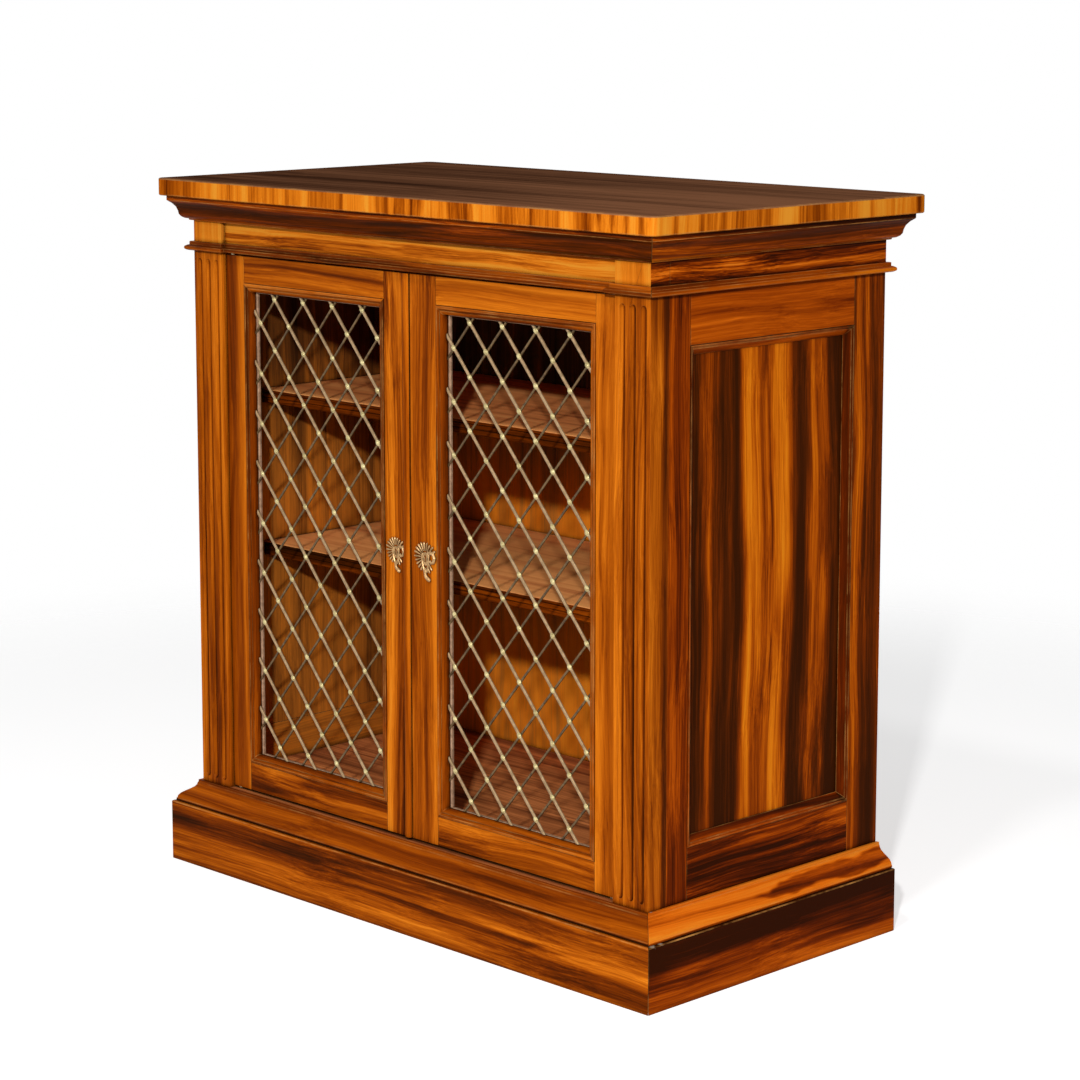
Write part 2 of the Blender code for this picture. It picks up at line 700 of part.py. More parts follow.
def meeting_recesses(side):
    """What is cut into a door's meeting stile for the lock, the key and the bolts."""
    beyond = DOOR_FACE - DOOR_THICK
    bolt_y = (BOLT_Y[0] - 2 * RUNNING, BOLT_Y[1] + 2 * RUNNING)
    bolt_z = (LOCK_Z - BOLT_HALF_H - 2 * RUNNING, LOCK_Z + BOLT_HALF_H + 2 * RUNNING)
    if side > 0:
        case_y = (DOOR_REAR - LOCK_DEPTH - GAP, DOOR_REAR + LOCK_DEPTH)
        case_z = (LOCK_Z - LOCK_HALF_H - GAP, LOCK_Z + LOCK_HALF_H + GAP)
        return (
            boxes(((LOCK_X[0] - GAP, LOCK_X[1] + GAP), case_y, case_z)),
            boxes(((-MEETING_EDGE, LOCK_X[0] + GAP), bolt_y, bolt_z)),
            keyhole(KEY_X, (beyond, case_y[0] + GAP)),
        )
    groove = [(low - RUNNING, high + RUNNING) for low, high in (FLUSH_X, FLUSH_Y)]
    return (
        boxes(
            ((-MEETING_EDGE - BOLT_THROW - RUNNING, MEETING_EDGE), bolt_y, bolt_z),
            ((groove[0][0], MEETING_EDGE), groove[1], (FLUSH_Z[0] - RUNNING, HEIGHT)),
        ),
        keyhole(LEFT_PLATE_X, (beyond, DOOR_FACE + BLIND_KEY)),
    )


def scalloped(outline):
    """The outline with a notch between each two points of its fan and scroll."""
    made = []
    for (x1, z1), (x2, z2) in zip(outline, outline[1:] + outline[:1]):
        made.append((x1, z1))
        if min(z1, z2) > SCALLOP_ABOVE:
            middle = Vector(((x1 + x2) / 2, (z1 + z2) / 2))
            made.append(middle - middle.normalized() * SCALLOP_DEPTH)
    return made


def make_escutcheon(name, side):
    """A pierced shell-work plate with a keyhole, flat on the meeting stile."""
    scale = 1 if side > 0 else LEFT_PLATE_SCALE
    hole = [(x / scale, z / scale) for x, z in key_outline()]
    loops = [scalloped(ESCUTCHEON), hole]
    for angle in SLIT_ANGLES:
        c, s = cos(angle * pi / 180), sin(angle * pi / 180)
        inner, outer = SLIT_R
        corners = ((inner, -SLIT_HALF), (outer, -SLIT_HALF), (outer, SLIT_HALF), (inner, SLIT_HALF))
        loops.append([(c * r - s * w, s * r + c * w) for r, w in corners])
    curve = bpy.data.curves.new(f"escutcheon_{name}", "CURVE")
    curve.dimensions = "2D"
    curve.fill_mode = "BOTH"
    curve.extrude = PLATE_PROUD / 2
    for loop in loops:
        spline = curve.splines.new("POLY")
        spline.points.add(len(loop) - 1)
        for point, (x, z) in zip(spline.points, loop):
            point.co = (x * scale, z * scale, 0, 1)
        spline.use_cyclic_u = True
    plate = bpy.data.objects.new(curve.name, curve)
    plate.location = (KEY_X if side > 0 else LEFT_PLATE_X, DOOR_FACE - GAP - PLATE_PROUD / 2, LOCK_Z)
    plate.rotation_euler = (pi / 2, 0, 0)
    curve.materials.append(look(curve.name, BRASS, 1.0, 0.3))
    PIECES.objects.link(plate)
    return plate


def put_bar(bm, ends, width, deep):
    """A bar of rectangular section between two points (x, z) of the door's plane."""
    (x1, z1), (x2, z2) = ends
    length = hypot(x2 - x1, z2 - z1)
    across = ((z1 - z2) / length * width / 2, (x2 - x1) / length * width / 2)
    rows = []
    for x, z in ends:
        near, far = (x - across[0], z - across[1]), (x + across[0], z + across[1])
        sides = ((near, deep[0]), (far, deep[0]), (far, deep[1]), (near, deep[1]))
        rows.append([(a, y, b) for (a, b), y in sides])
    rings(rows, bm=bm)


def make_grille(name, side):
    """Brass lattice: a bar round it, thick rods falling to the right over thin rising ones, and bosses."""

    def depths(pair):
        return [DOOR_FACE + value for value in pair]

    left = FIRST_COLUMN + (SIGHT_X[0] if side > 0 else -SIGHT_X[1])
    wide = SIGHT_X[1] - SIGHT_X[0]
    columns = [(x - FIRST_COLUMN) / COLUMN for x in (ROD_SHORT, wide - ROD_SHORT)]
    rows = [(LATTICE_TOP_Z - z) / ROW for z in (SIGHT_Z[1] - ROD_SHORT, SIGHT_Z[0] + ROD_SHORT)]

    def point(column, row):
        return left + column * COLUMN, LATTICE_TOP_Z - row * ROW

    outer, inner = MOULD_W + GAP, MOULD_W + BAR_W
    near, far = BAR_DEPTH
    bar = ((outer, near), (inner, near), (inner, far), (outer, far))
    frame = mitred_frame(bar, FRAME_X, FRAME_Z, lambda a, up, deep: (side * a, DOOR_FACE + deep, up))
    grille = add(f"door_{name}_grille", frame, BRASS)
    for family, width, deep in ((1, FRONT_ROD_W, FRONT_ROD_DEPTH), (-1, REAR_ROD_W, REAR_ROD_DEPTH)):
        rods = bmesh.new()
        for line in range(-LAST_ROW - 1, LAST_ROW + LAST_COLUMN + 2):
            if line % 2 == 0:
                continue
            ends = sorted(family * (limit - line) for limit in columns)
            low, high = max(ends[0], rows[0]), min(ends[1], rows[1])
            if high - low > SHORTEST_ROD:
                put_bar(rods, [point(line + family * row, row) for row in (low, high)], width, depths(deep))
        combine(grille, "UNION", rods)
    along = Vector((COLUMN, -ROW)).normalized()
    bosses = bmesh.new()
    for column in range(LAST_COLUMN + 1):
        for row in range((column + 1) % 2, LAST_ROW + 1, 2):
            x, z = point(column, row)
            levels = []
            for (long, wide_by), y in zip((BOSS_CROWN, BOSS_BASE), depths(BOSS_DEPTH)):
                level = []
                for i, j in ((1, 1), (1, -1), (-1, -1), (-1, 1)):
                    a, b = i * long, j * wide_by
                    level.append((x + a * along.x - b * along.y, y, z + a * along.y + b * along.x))
                levels.append(level)
            rings(levels, bm=bosses)
    combine(grille, "UNION", bosses)
    return grille


def make_bead():
    """Half-round bead on the left door's meeting edge."""
    turns = [pi * k / BEAD_STEPS for k in range(BEAD_STEPS + 1)]
    base = DOOR_FACE - GAP
    half, round_up = BEAD_W / 2, BEAD_PROUD - BEAD_LIP
    middle = -MEETING_EDGE - half
    section = [(middle + half * cos(t), base - BEAD_LIP - round_up * sin(t)) for t in turns]
    section += [(middle - half, base), (middle + half, base)]
    return add("astragal_bead", rings([[(x, y, z) for x, y in section] for z in DOOR_Z]), WALNUT)


def make_lock():
    """The lock case let into the right door, and its sliding bolt."""
    low, high = LOCK_X
    y = (DOOR_REAR - LOCK_DEPTH, DOOR_REAR)
    case = add("lock_case", boxes(((low, high), y, (LOCK_Z - LOCK_HALF_H, LOCK_Z + LOCK_HALF_H))), BRASS)
    pocket = boxes(
        (
            (MEETING_EDGE, BOLT_X[1] + RUNNING),
            (BOLT_Y[0] - RUNNING, BOLT_Y[1] + RUNNING),
            (LOCK_Z - BOLT_HALF_H - RUNNING, LOCK_Z + BOLT_HALF_H + RUNNING),
        )
    )
    combine(case, "DIFFERENCE", pocket)
    combine(case, "DIFFERENCE", keyhole(KEY_X, (DOOR_FACE, BOLT_Y[1])))
    bolt = add("lock_bolt", boxes((BOLT_X, BOLT_Y, (LOCK_Z - BOLT_HALF_H, LOCK_Z + BOLT_HALF_H))), BRASS)
    return case, bolt


def make_flush_bolt():
    """Sliding bar in the left door's meeting edge, with a notch for the finger."""
    bar = add("flush_bolt", boxes((FLUSH_X, FLUSH_Y, FLUSH_Z)), BRASS)
    notch_z = (FLUSH_Z[0] + NOTCH_Z[0], FLUSH_Z[0] + NOTCH_Z[1])
    notch_y = (FLUSH_Y[0] + NOTCH_RIM, FLUSH_Y[1] - NOTCH_RIM)
    combine(bar, "DIFFERENCE", boxes(((FLUSH_X[1] - NOTCH_DEEP, MEETING_EDGE), notch_y, notch_z)))
    return bar


def middle_of(*limits):
    return [sum(pair) / 2 for pair in limits]


for old in list(bpy.data.objects):
    bpy.data.objects.remove(old, do_unlink=True)
bpy.context.scene.unit_settings.system = "METRIC"
PIECES = collection("side_cabinet")
TOOLS = collection("cutters", hidden=True)

make_top()
make_mouldings()
make_plinth()
make_posts()
make_frieze()
make_sides()
make_inside()
left_door = make_door("left", -1) + [make_bead()]
right_door = make_door("right", 1)
lock_case, lock_bolt = make_lock()
bolt_axis = hung([lock_bolt], "lock_bolt_slide", middle_of(BOLT_X, BOLT_Y, (LOCK_Z, LOCK_Z)))
flush_axis = hung([make_flush_bolt()], "flush_bolt_slide", middle_of(FLUSH_X, FLUSH_Y, FLUSH_Z))
hung([*left_door, flush_axis], "left_door_hinge", (-PIVOT_X, PIVOT_Y, 0))
hung([*right_door, lock_case, bolt_axis], "right_door_hinge", (PIVOT_X, PIVOT_Y, 0))
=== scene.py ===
"""Looks for the low side cabinet: veneers, brass lattice, escutcheons, light and camera."""

import json
from math import cos, pi, radians, sin

import bmesh
import bpy
from mathutils import Matrix, Vector

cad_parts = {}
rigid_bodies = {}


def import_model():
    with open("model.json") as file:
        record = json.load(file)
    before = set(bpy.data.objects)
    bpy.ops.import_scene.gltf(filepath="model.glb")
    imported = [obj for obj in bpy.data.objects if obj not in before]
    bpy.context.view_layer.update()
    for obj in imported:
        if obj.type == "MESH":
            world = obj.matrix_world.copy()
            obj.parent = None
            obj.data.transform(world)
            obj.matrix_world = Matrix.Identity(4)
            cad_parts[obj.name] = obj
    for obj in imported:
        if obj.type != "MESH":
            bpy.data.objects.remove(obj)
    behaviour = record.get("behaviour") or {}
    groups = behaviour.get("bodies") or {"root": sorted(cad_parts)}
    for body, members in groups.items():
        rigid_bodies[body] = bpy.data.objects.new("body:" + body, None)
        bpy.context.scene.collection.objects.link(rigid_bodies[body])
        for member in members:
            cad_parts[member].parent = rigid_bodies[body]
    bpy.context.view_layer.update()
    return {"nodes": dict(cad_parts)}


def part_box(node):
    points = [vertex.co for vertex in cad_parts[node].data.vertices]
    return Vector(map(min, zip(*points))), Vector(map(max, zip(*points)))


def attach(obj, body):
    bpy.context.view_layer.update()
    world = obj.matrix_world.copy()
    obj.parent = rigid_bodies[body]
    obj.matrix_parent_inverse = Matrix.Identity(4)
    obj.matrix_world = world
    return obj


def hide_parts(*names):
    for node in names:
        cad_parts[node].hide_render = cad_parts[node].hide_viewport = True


for startup in list(bpy.data.objects):
    bpy.data.objects.remove(startup)
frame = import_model()
NODES = frame["nodes"]

X, Y, Z = 0, 1, 2
SIDES = ("left", "right")

# Planes and levels of the case
HALF_W = 0.403
INSIDE_X = 0.3806  # a side's inner face
FRONT = -0.204  # the posts' faces
BACK_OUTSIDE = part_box("back_panel")[1][1]
BLOCK_Z = 0.8075  # the post's block starts here
PANEL_Y = (-0.138, 0.147)  # a side panel from front to back
SHELF_TOPS = {"shelf_lower": 0.418, "shelf_upper": 0.621}
TOP_Z = 0.8990

# Veneers, linear: tone and colour
VENEER = (
    (0.28, (0.036, 0.0080, 0.0008)),
    (0.38, (0.098, 0.0160, 0.0009)),
    (0.47, (0.235, 0.039, 0.0012)),
    (0.56, (0.50, 0.104, 0.0028)),
    (0.68, (0.88, 0.235, 0.010)),
    (0.80, (0.96, 0.360, 0.030)),
)
RED = tuple((tone, (r, g * 0.77, b * 0.6)) for tone, (r, g, b) in VENEER)
FIGURED = (
    (0.28, (0.045, 0.0090, 0.0004)),
    (0.38, (0.105, 0.0175, 0.0006)),
    (0.47, (0.240, 0.035, 0.0009)),
    (0.56, (0.53, 0.093, 0.0018)),
    (0.68, (0.90, 0.228, 0.006)),
    (0.80, (0.97, 0.350, 0.015)),
)
TOP = (
    (0.34, (0.042, 0.0155, 0.0078)),
    (0.46, (0.105, 0.0405, 0.0190)),
    (0.54, (0.170, 0.0690, 0.0325)),
    (0.68, (0.290, 0.1200, 0.0560)),
)
INNER = (
    (0.26, (0.032, 0.020, 0.010)),
    (0.37, (0.12, 0.062, 0.024)),
    (0.48, (0.48, 0.160, 0.022)),
    (0.58, (0.88, 0.240, 0.013)),
    (0.70, (0.98, 0.350, 0.025)),
)
LINING = (
    (0.26, (0.036, 0.012, 0.004)),
    (0.37, (0.14, 0.043, 0.008)),
    (0.48, (0.50, 0.150, 0.016)),
    (0.58, (0.88, 0.240, 0.013)),
)
SHELF = (
    (0.30, (0.10, 0.031, 0.011)),
    (0.40, (0.38, 0.112, 0.034)),
    (0.52, (0.82, 0.280, 0.082)),
    (0.66, (0.97, 0.410, 0.125)),
)

# Figure of a veneer: frequency along and across the grain, then the noise's detail and weight
WAVES = (((2.2, 5.0), 0.040), ((11.0, 60.0), 0.0035))  # frequency, and how far the grain is pushed
BANDS_ALONG = 0.6
STREAKS = ((1.5, 120.0, 2.0, 0.45), (4.5, 480.0, 2.0, 0.36), (28.0, 2400.0, 1.0, 0.20))
VEINS = (1.3, 85.0)
IN_VEIN = (0.54, 0.72, -0.15)
SEED_STEP = (1.37, 0.71, 2.11)

# Wear and painted highlight, dirt and painted shade: linear colours, frequencies, and where in the noise they start
# and are full
# Pale arris colour: wear, and also a painted highlight on the edges in place of the polish's gloss
PALE_WEAR_AND_HIGHLIGHT = (0.70, 0.33, 0.085)
WEAR_AND_HIGHLIGHT_FREQUENCY = 22.0
WEAR_AND_HIGHLIGHT_PATCH = (0.30, 0.78)
ARRIS_WEAR_AND_HIGHLIGHT = 0.35  # share of an arris that is rubbed pale, as wear and as painted highlight, unless a piece gives its own
BRUISE = (0.42, 0.35, 0.26)
BRUISE_FREQUENCY = 260.0
BRUISE_MOST = 0.85
SCRATCH = (0.30, 0.17, 0.10)
SCRATCH_FREQUENCY = (9.0, 1400.0, 1.0)
SCRATCHED = (0.74, 0.80, 0.25)
# Dark joints and creases: dirt and painted shade together; the wider reach below is painted shade alone
DIRT_AND_SHADE = (0.015, 0.0045, 0.0010)
DIRT_AND_SHADE_REACH = 0.006
DIRT_AND_SHADE_OPEN = (0.35, 0.92)
DIRT_AND_SHADE_MOST = 0.85
PAINTED_SHADE_REACH = 0.030
PAINTED_SHADE_OPEN = (0.45, 0.95, 0.30)
PAINTED_SHADE_LEAST = 0.70
TARNISH = (0.10, 0.055, 0.018)
TARNISH_OPEN = (0.35, 0.85)
BRASS_CLOUD = (0.38, 0.62)

# Shades, several of them painted shade: from where, to where, and how much they add to the tone
TOP_SHADE = (-0.20, 0.40, 0.125)
TOP_END_SHADE = (0.4362, 0.4370, 0.035)
POST_BLOCK = (BLOCK_Z, BLOCK_Z + 0.002, 0.13)
POST_JOINT = (-0.185, -0.177, -0.13)
POST_HEAD = (0.700, 0.800, -0.14)
POST_RETURN = 0.05
# Flutes: painted shade on the walls that face left
FLUTE = (FRONT + 0.0002, FRONT + 0.0010, 0.02)
FLUTE_SHADED_TURN = (-0.10, 0.60)  # of the surface, towards the left, where painted shade is put in the flutes
FLUTE_PAINTED_SHADE = -0.17
# Painted shade on the hinge stiles beside the posts
SHADE_BESIDE_POST = (0.318, 0.327, -0.09)
REAR_MOULDING = (0.1340, 0.1360, -0.09)
# Painted shadow on the back's inner face, behind the frieze and under each shelf
BACK_PAINTED_SHADOWS = ((0.58, 0.66, -0.11), (0.44, 0.56, -0.11), (0.24, 0.38, -0.10), (0.385, 0.41, 0.10))
BACK_OUTER = -0.05
# Painted shadow on the sides' inner faces, behind the frieze and under the upper shelf
SIDE_PAINTED_SHADOWS = ((0.60, 0.68, -0.07), (0.46, 0.60, -0.05))
PLINTH_BAND = ((0.018, 0.034, -0.08), (0.044, 0.060, 0.08))
PLINTH_BAND_FALL = 0.045
PLINTH_HEAD = (0.022, 0.068, -0.27)
# Painted shadow line at the ogee's foot
OGEE_FOOT = (0.0800, 0.0825)
OGEE_FOOT_SHADOW = -0.20
OGEE_STREAK_Z = 0.0925
OGEE_STREAK_HALF = (-0.06, 0.06, 0.0065)
OGEE_STREAK_EDGE = (-0.0015, 0.0025)
OGEE_STREAK_START = (-0.06, 0.0, -0.22)
PANEL_LOW = (0.16, 0.62)
PANEL_LOW_DARK = -0.05

# Rounding of the CAD's edges, in metres and degrees
ARRIS = 0.0006
METAL_ARRIS = 0.00015
ARRIS_ANGLE = 38
SHARP_ANGLE = 40


class Graph:
    """The nodes of a material or of the world."""

    def __init__(self, owner):
        owner.use_nodes = True
        self.tree = owner.node_tree

    def add(self, kind, **settings):
        made = self.tree.nodes.new(kind)
        for key, value in settings.items():
            setattr(made, key, value)
        return made

    def put(self, value, socket):
        """Links a socket to an input, or sets the input to a constant."""
        if isinstance(value, bpy.types.NodeSocket):
            self.tree.links.new(value, socket)
        elif isinstance(value, tuple) and len(socket.default_value) == 4:
            socket.default_value = (*value, 1)
        else:
            socket.default_value = value

    def math(self, operation, *values):
        made = self.add("ShaderNodeMath", operation=operation)
        for value, socket in zip(values, made.inputs):
            self.put(value, socket)
        return made.outputs[0]

    def sum(self, first, *others):
        for other in others:
            first = self.math("ADD", first, other)
        return first

    def product(self, first, *others):
        for other in others:
            first = self.math("MULTIPLY", first, other)
        return first

    def added(self, base, value, factor):
        """base + value * factor."""
        return self.math("MULTIPLY_ADD", value, factor, base)

    def inverse(self, share):
        return self.math("SUBTRACT", 1.0, share)

    def step(self, value, low, high):
        """0 below low, 1 above high, smooth between."""
        made = self.add("ShaderNodeMapRange", interpolation_type="SMOOTHSTEP")
        self.put(value, made.inputs["Value"])
        made.inputs["From Min"].default_value = low
        made.inputs["From Max"].default_value = high
        return made.outputs[0]

    def fall(self, value, low, high):
        """1 below low, 0 above high, smooth between."""
        return self.inverse(self.step(value, low, high))

    def shade(self, value, low, high, amount):
        """Nothing below low, the amount above high."""
        return self.product(self.step(value, low, high), amount)

    def past(self, value, plane):
        """1 on a face that lies in the plane, 0 behind it."""
        return self.step(value, plane - 0.0006, plane - 0.0002)

    def vector(self, operation, *values):
        made = self.add("ShaderNodeVectorMath", operation=operation)
        inputs = [made.inputs[0], made.inputs["Scale"]] if operation == "SCALE" else made.inputs
        for value, socket in zip(values, inputs):
            self.put(value, socket)
        return made.outputs["Value" if operation == "LENGTH" else "Vector"]

    def split(self, vector):
        made = self.add("ShaderNodeSeparateXYZ")
        self.put(vector, made.inputs[0])
        return made.outputs

    def join(self, x, y, z):
        made = self.add("ShaderNodeCombineXYZ")
        for value, socket in zip((x, y, z), made.inputs):
            self.put(value, socket)
        return made.outputs[0]

    def noise(self, place, scales, detail=2.0, roughness=0.5, colour=False):
        made = self.add("ShaderNodeTexNoise")
        self.put(self.vector("MULTIPLY", place, scales), made.inputs["Vector"])
        made.inputs["Scale"].default_value = 1.0
        made.inputs["Detail"].default_value = detail
        made.inputs["Roughness"].default_value = roughness
        return made.outputs["Color" if colour else "Fac"]

    def ramp(self, value, stops):
        """Colours, or plain numbers, between stops."""
        made = self.add("ShaderNodeValToRGB")
        self.put(value, made.inputs[0])
        ends = made.color_ramp.elements
        while len(ends) < len(stops):
            ends.new(0.5)
        for end, (position, colour) in zip(ends, stops):
            end.position = position
            end.color = (*colour, 1) if isinstance(colour, tuple) else (colour,) * 3 + (1,)
        return made.outputs[0]

    def blend(self, share, a, b, kind="RGBA"):
        """a where the share is 0 and b where it is 1, as colours or as vectors."""
        made = self.add("ShaderNodeMix", data_type=kind)
        self.put(share, made.inputs["Factor"])
        self.put(a, made.inputs["A"])
        self.put(b, made.inputs["B"])
        return made.outputs["Result"]


class Surface(Graph):
    """The nodes of a new material, with places in metres in the piece's own frame."""

    def __init__(self, name):
        self.material = bpy.data.materials.new(name)
        super().__init__(self.material)
        self.shader = self.tree.nodes["Principled BSDF"]
        coordinates = self.add("ShaderNodeTexCoord")
        self.place = coordinates.outputs["Object"]
        self.normal = coordinates.outputs["Normal"]

    def at(self, axis):
        return self.split(self.place)[axis]

    def out(self, axis):
        """Distance from the cabinet's middle plane across the axis."""
        return self.math("ABSOLUTE", self.at(axis))

    def stray(self, base, scales, amount, detail=2.0, roughness=0.5):
        """The value, made uneven by up to half the amount either way."""
        wander = self.noise(self.place, scales, detail, roughness)
        return self.added(base, self.math("SUBTRACT", wander, 0.5), amount)

    def openness(self, reach, samples=4):
        """Share of the surroundings within reach that is open."""
        made = self.add("ShaderNodeAmbientOcclusion", samples=samples)
        made.inputs["Distance"].default_value = reach
        return made.outputs["AO"]

    def set(self, **values):
        """Puts values into the shader's inputs, spaces written as underscores."""
        for key, value in values.items():
            self.put(value, self.shader.inputs[key.replace("_", " ")])

    def bump(self, height, distance):
        made = self.add("ShaderNodeBump")
        self.put(height, made.inputs["Height"])
        made.inputs["Distance"].default_value = distance
        made.inputs["Strength"].default_value = 1.0
        self.put(made.outputs[0], self.shader.inputs["Normal"])


def along(grain, lengthways, across):
    """A scale for each axis: one along the grain, another across it."""
    return tuple(lengthways if axis == grain else across for axis in (X, Y, Z))


def veneer(graph, place, grain, seed, tone, contrast=0.8, veins=0.6, bands=30.0, colours=VENEER):
    """Colour and fibres of one sheet of veneer, its grain along the axis given."""
    place = graph.vector("ADD", place, tuple(seed * step for step in SEED_STEP))
    for frequency, push in WAVES:
        wave = graph.noise(place, along(grain, *frequency), colour=True)
        wave = graph.vector("SUBTRACT", wave, (0.5, 0.5, 0.5))
        place = graph.vector("ADD", place, graph.vector("MULTIPLY", wave, along(grain, 0.0, push)))
    figure = 0.0
    for lengthways, across, detail, weight in ((BANDS_ALONG, bands, 2.0, 1.0), *STREAKS):
        layer = graph.noise(place, along(grain, lengthways, across), detail, 0.55)
        figure = graph.added(figure, graph.math("SUBTRACT", layer, 0.5), weight)
    tone = graph.added(tone, figure, contrast)
    if veins:
        vein = graph.noise(place, along(grain, *VEINS), 3.0)
        tone = graph.added(tone, graph.shade(vein, *IN_VEIN), veins)
    return graph.ramp(tone, colours), layer


def rub_and_highlight(graph, colour, wear_and_highlight):
    """Worn patches along an arris, pale as wear and as painted highlight."""
    patch = graph.noise(graph.place, (WEAR_AND_HIGHLIGHT_FREQUENCY,) * 3, 4.0, 0.7)
    return graph.blend(graph.shade(patch, *WEAR_AND_HIGHLIGHT_PATCH, wear_and_highlight), colour, PALE_WEAR_AND_HIGHLIGHT)


def bruise(graph, colour, at, radius):
    """A pale chip round a point."""
    away = graph.vector("LENGTH", graph.vector("SUBTRACT", graph.place, at))
    away = graph.stray(away, (BRUISE_FREQUENCY,) * 3, radius * 1.6, 3.0, 0.7)
    share = graph.product(graph.fall(away, radius * 0.6, radius), BRUISE_MOST)
    return graph.blend(share, colour, BRUISE)


def dirt_and_shade(graph, colour):
    """Dirt and old polish that darken joints and grooves, with painted shade in the same creases and a wider
    painted shade near other surfaces.
    """
    crease_dirt_and_shade = graph.product(graph.fall(graph.openness(DIRT_AND_SHADE_REACH), *DIRT_AND_SHADE_OPEN), DIRT_AND_SHADE_MOST)
    painted_shade_level = graph.sum(graph.shade(graph.openness(PAINTED_SHADE_REACH), *PAINTED_SHADE_OPEN), PAINTED_SHADE_LEAST)
    return graph.vector("SCALE", graph.blend(crease_dirt_and_shade, colour, DIRT_AND_SHADE), painted_shade_level)


def polish(graph, colour, fibres, gloss=0.01, roughness=0.3, relief=0.00001):
    """The finished surface, with the fibres' slight relief."""
    graph.set(Base_Color=colour, Roughness=roughness, Specular_IOR_Level=gloss)
    graph.bump(fibres, relief)


def mitred(graph, grain, box):
    """Place on a mitred frame, turned so that the grain follows each of its lengths."""
    place = graph.split(graph.place)
    low, high = box
    reach = []
    for axis in (grain, Z):
        away = graph.math("ABSOLUTE", graph.math("SUBTRACT", place[axis], (low[axis] + high[axis]) / 2))
        reach.append(graph.math("SUBTRACT", away, (high[axis] - low[axis]) / 2))
    turned = list(place)
    turned[grain], turned[Z] = turned[Z], turned[grain]
    return graph.blend(graph.math("GREATER_THAN", *reach), graph.place, graph.join(*turned), "VECTOR")


def wood(
    name, grain, seed, tone, wear_and_highlight=0.0, frame_box=None, shift=None, cover=None, bruises=(), gloss=0.01, **sheet,
):
    """Polished veneer.

    shift(graph) gives what is added to the tone from place to place, and
    cover(graph, colour, grain, seed) lays another sheet over a part of this one.
    """
    graph = Surface(name)
    place = mitred(graph, grain, frame_box) if frame_box else graph.place
    if shift:
        tone = graph.sum(shift(graph), tone)
    colour, fibres = veneer(graph, place, grain, seed, tone, **sheet)
    if cover:
        colour = cover(graph, colour, grain, seed)
    if wear_and_highlight:
        colour = rub_and_highlight(graph, colour, wear_and_highlight)
    colour = dirt_and_shade(graph, colour)
    for at, radius in bruises:
        colour = bruise(graph, colour, at, radius)
    polish(graph, colour, fibres, gloss)
    return graph.material


def top_wood(name, wear_and_highlight):
    """Dark polished top with a paler cross-grained edge."""
    graph = Surface(name)
    x, y, z = graph.split(graph.place)
    tone = graph.sum(graph.shade(x, *TOP_SHADE), 0.517)
    board, fibres = veneer(graph, graph.place, X, 71, tone, contrast=0.62, veins=0.5, bands=14.0, colours=TOP)
    scratch = graph.noise(graph.place, SCRATCH_FREQUENCY, 1.0)
    board = graph.blend(graph.shade(scratch, *SCRATCHED), board, SCRATCH)
    strip = graph.noise(graph.join(graph.sum(x, y), 0.0, 0.0), (45.0, 1.0, 1.0))
    tone = graph.added(0.643, graph.math("SUBTRACT", strip, 0.5), 0.27)
    tone = graph.sum(tone, graph.shade(x, *TOP_END_SHADE))
    edge, _ = veneer(graph, graph.place, Z, 72, tone, contrast=0.67, veins=0.9)
    colour = graph.blend(graph.step(z, TOP_Z - 0.0012, TOP_Z), edge, board)
    if wear_and_highlight:
        colour = rub_and_highlight(graph, colour, wear_and_highlight)
    polish(graph, dirt_and_shade(graph, colour), fibres, 0.0, relief=0.000001)
    return graph.material


def shelf_wood(name, seed, tone):
    """Lighter unpolished top and darker reeded front."""
    graph = Surface(name)
    level = SHELF_TOPS[name]
    top, fibres = veneer(graph, graph.place, X, seed, tone, contrast=0.5, veins=0.4, colours=SHELF)
    front, _ = veneer(graph, graph.place, X, seed + 1, 0.40, contrast=0.6)
    colour = graph.blend(graph.step(graph.at(Z), level - 0.0012, level - 0.0004), front, top)
    polish(graph, dirt_and_shade(graph, colour), fibres, 0.0, 0.5)
    return graph.material


def brass(name, colour, dull, roughness, metallic=1.0, crevice=0.0):
    """Old brass in patches, dark in its crevices where a depth is given for them."""
    graph = Surface(name)
    cloud = graph.noise(graph.place, (140.0,) * 3, 3.0, 0.6)
    tint = graph.blend(graph.step(cloud, *BRASS_CLOUD), dull, colour)
    if crevice:
        tint = graph.blend(graph.step(graph.openness(crevice, 6), *TARNISH_OPEN), TARNISH, tint)
    graph.set(Base_Color=tint, Metallic=metallic, Roughness=roughness)
    graph.bump(graph.noise(graph.place, (900.0,) * 3), 0.00004)
    return graph.material


# Shifts: what a piece of wood adds to its tone from place to place, some of it painted shade


def post_shift(graph):
    """Paler above the necking, painted shade on the flutes' left-facing walls, and darker at the return's head and
    rear edge.
    """
    y, z = graph.at(Y), graph.at(Z)
    side = graph.past(graph.out(X), HALF_W)
    on_return = graph.sum(graph.shade(y, *POST_JOINT), graph.shade(z, *POST_HEAD), POST_RETURN)
    start, full, paler = FLUTE
    in_flute = graph.product(graph.step(y, start, full), graph.inverse(side))
    # Painted shade: the flutes' walls that face left are darkened
    turned = graph.fall(graph.split(graph.normal)[X], *FLUTE_SHADED_TURN)
    flute_shade_and_tone = graph.sum(graph.product(turned, FLUTE_PAINTED_SHADE), paler)
    return graph.sum(
        graph.shade(z, *POST_BLOCK), graph.product(on_return, side), graph.product(flute_shade_and_tone, in_flute),
    )


def hinge_shade(graph):
    """Painted shade beside the post."""
    across = graph.stray(graph.out(X), (30.0, 1.0, 3.0), 0.02)
    return graph.shade(across, *SHADE_BESIDE_POST)


def moulding_shift(graph):
    """Darker on the panel's rear moulding."""
    return graph.shade(graph.at(Y), *REAR_MOULDING)


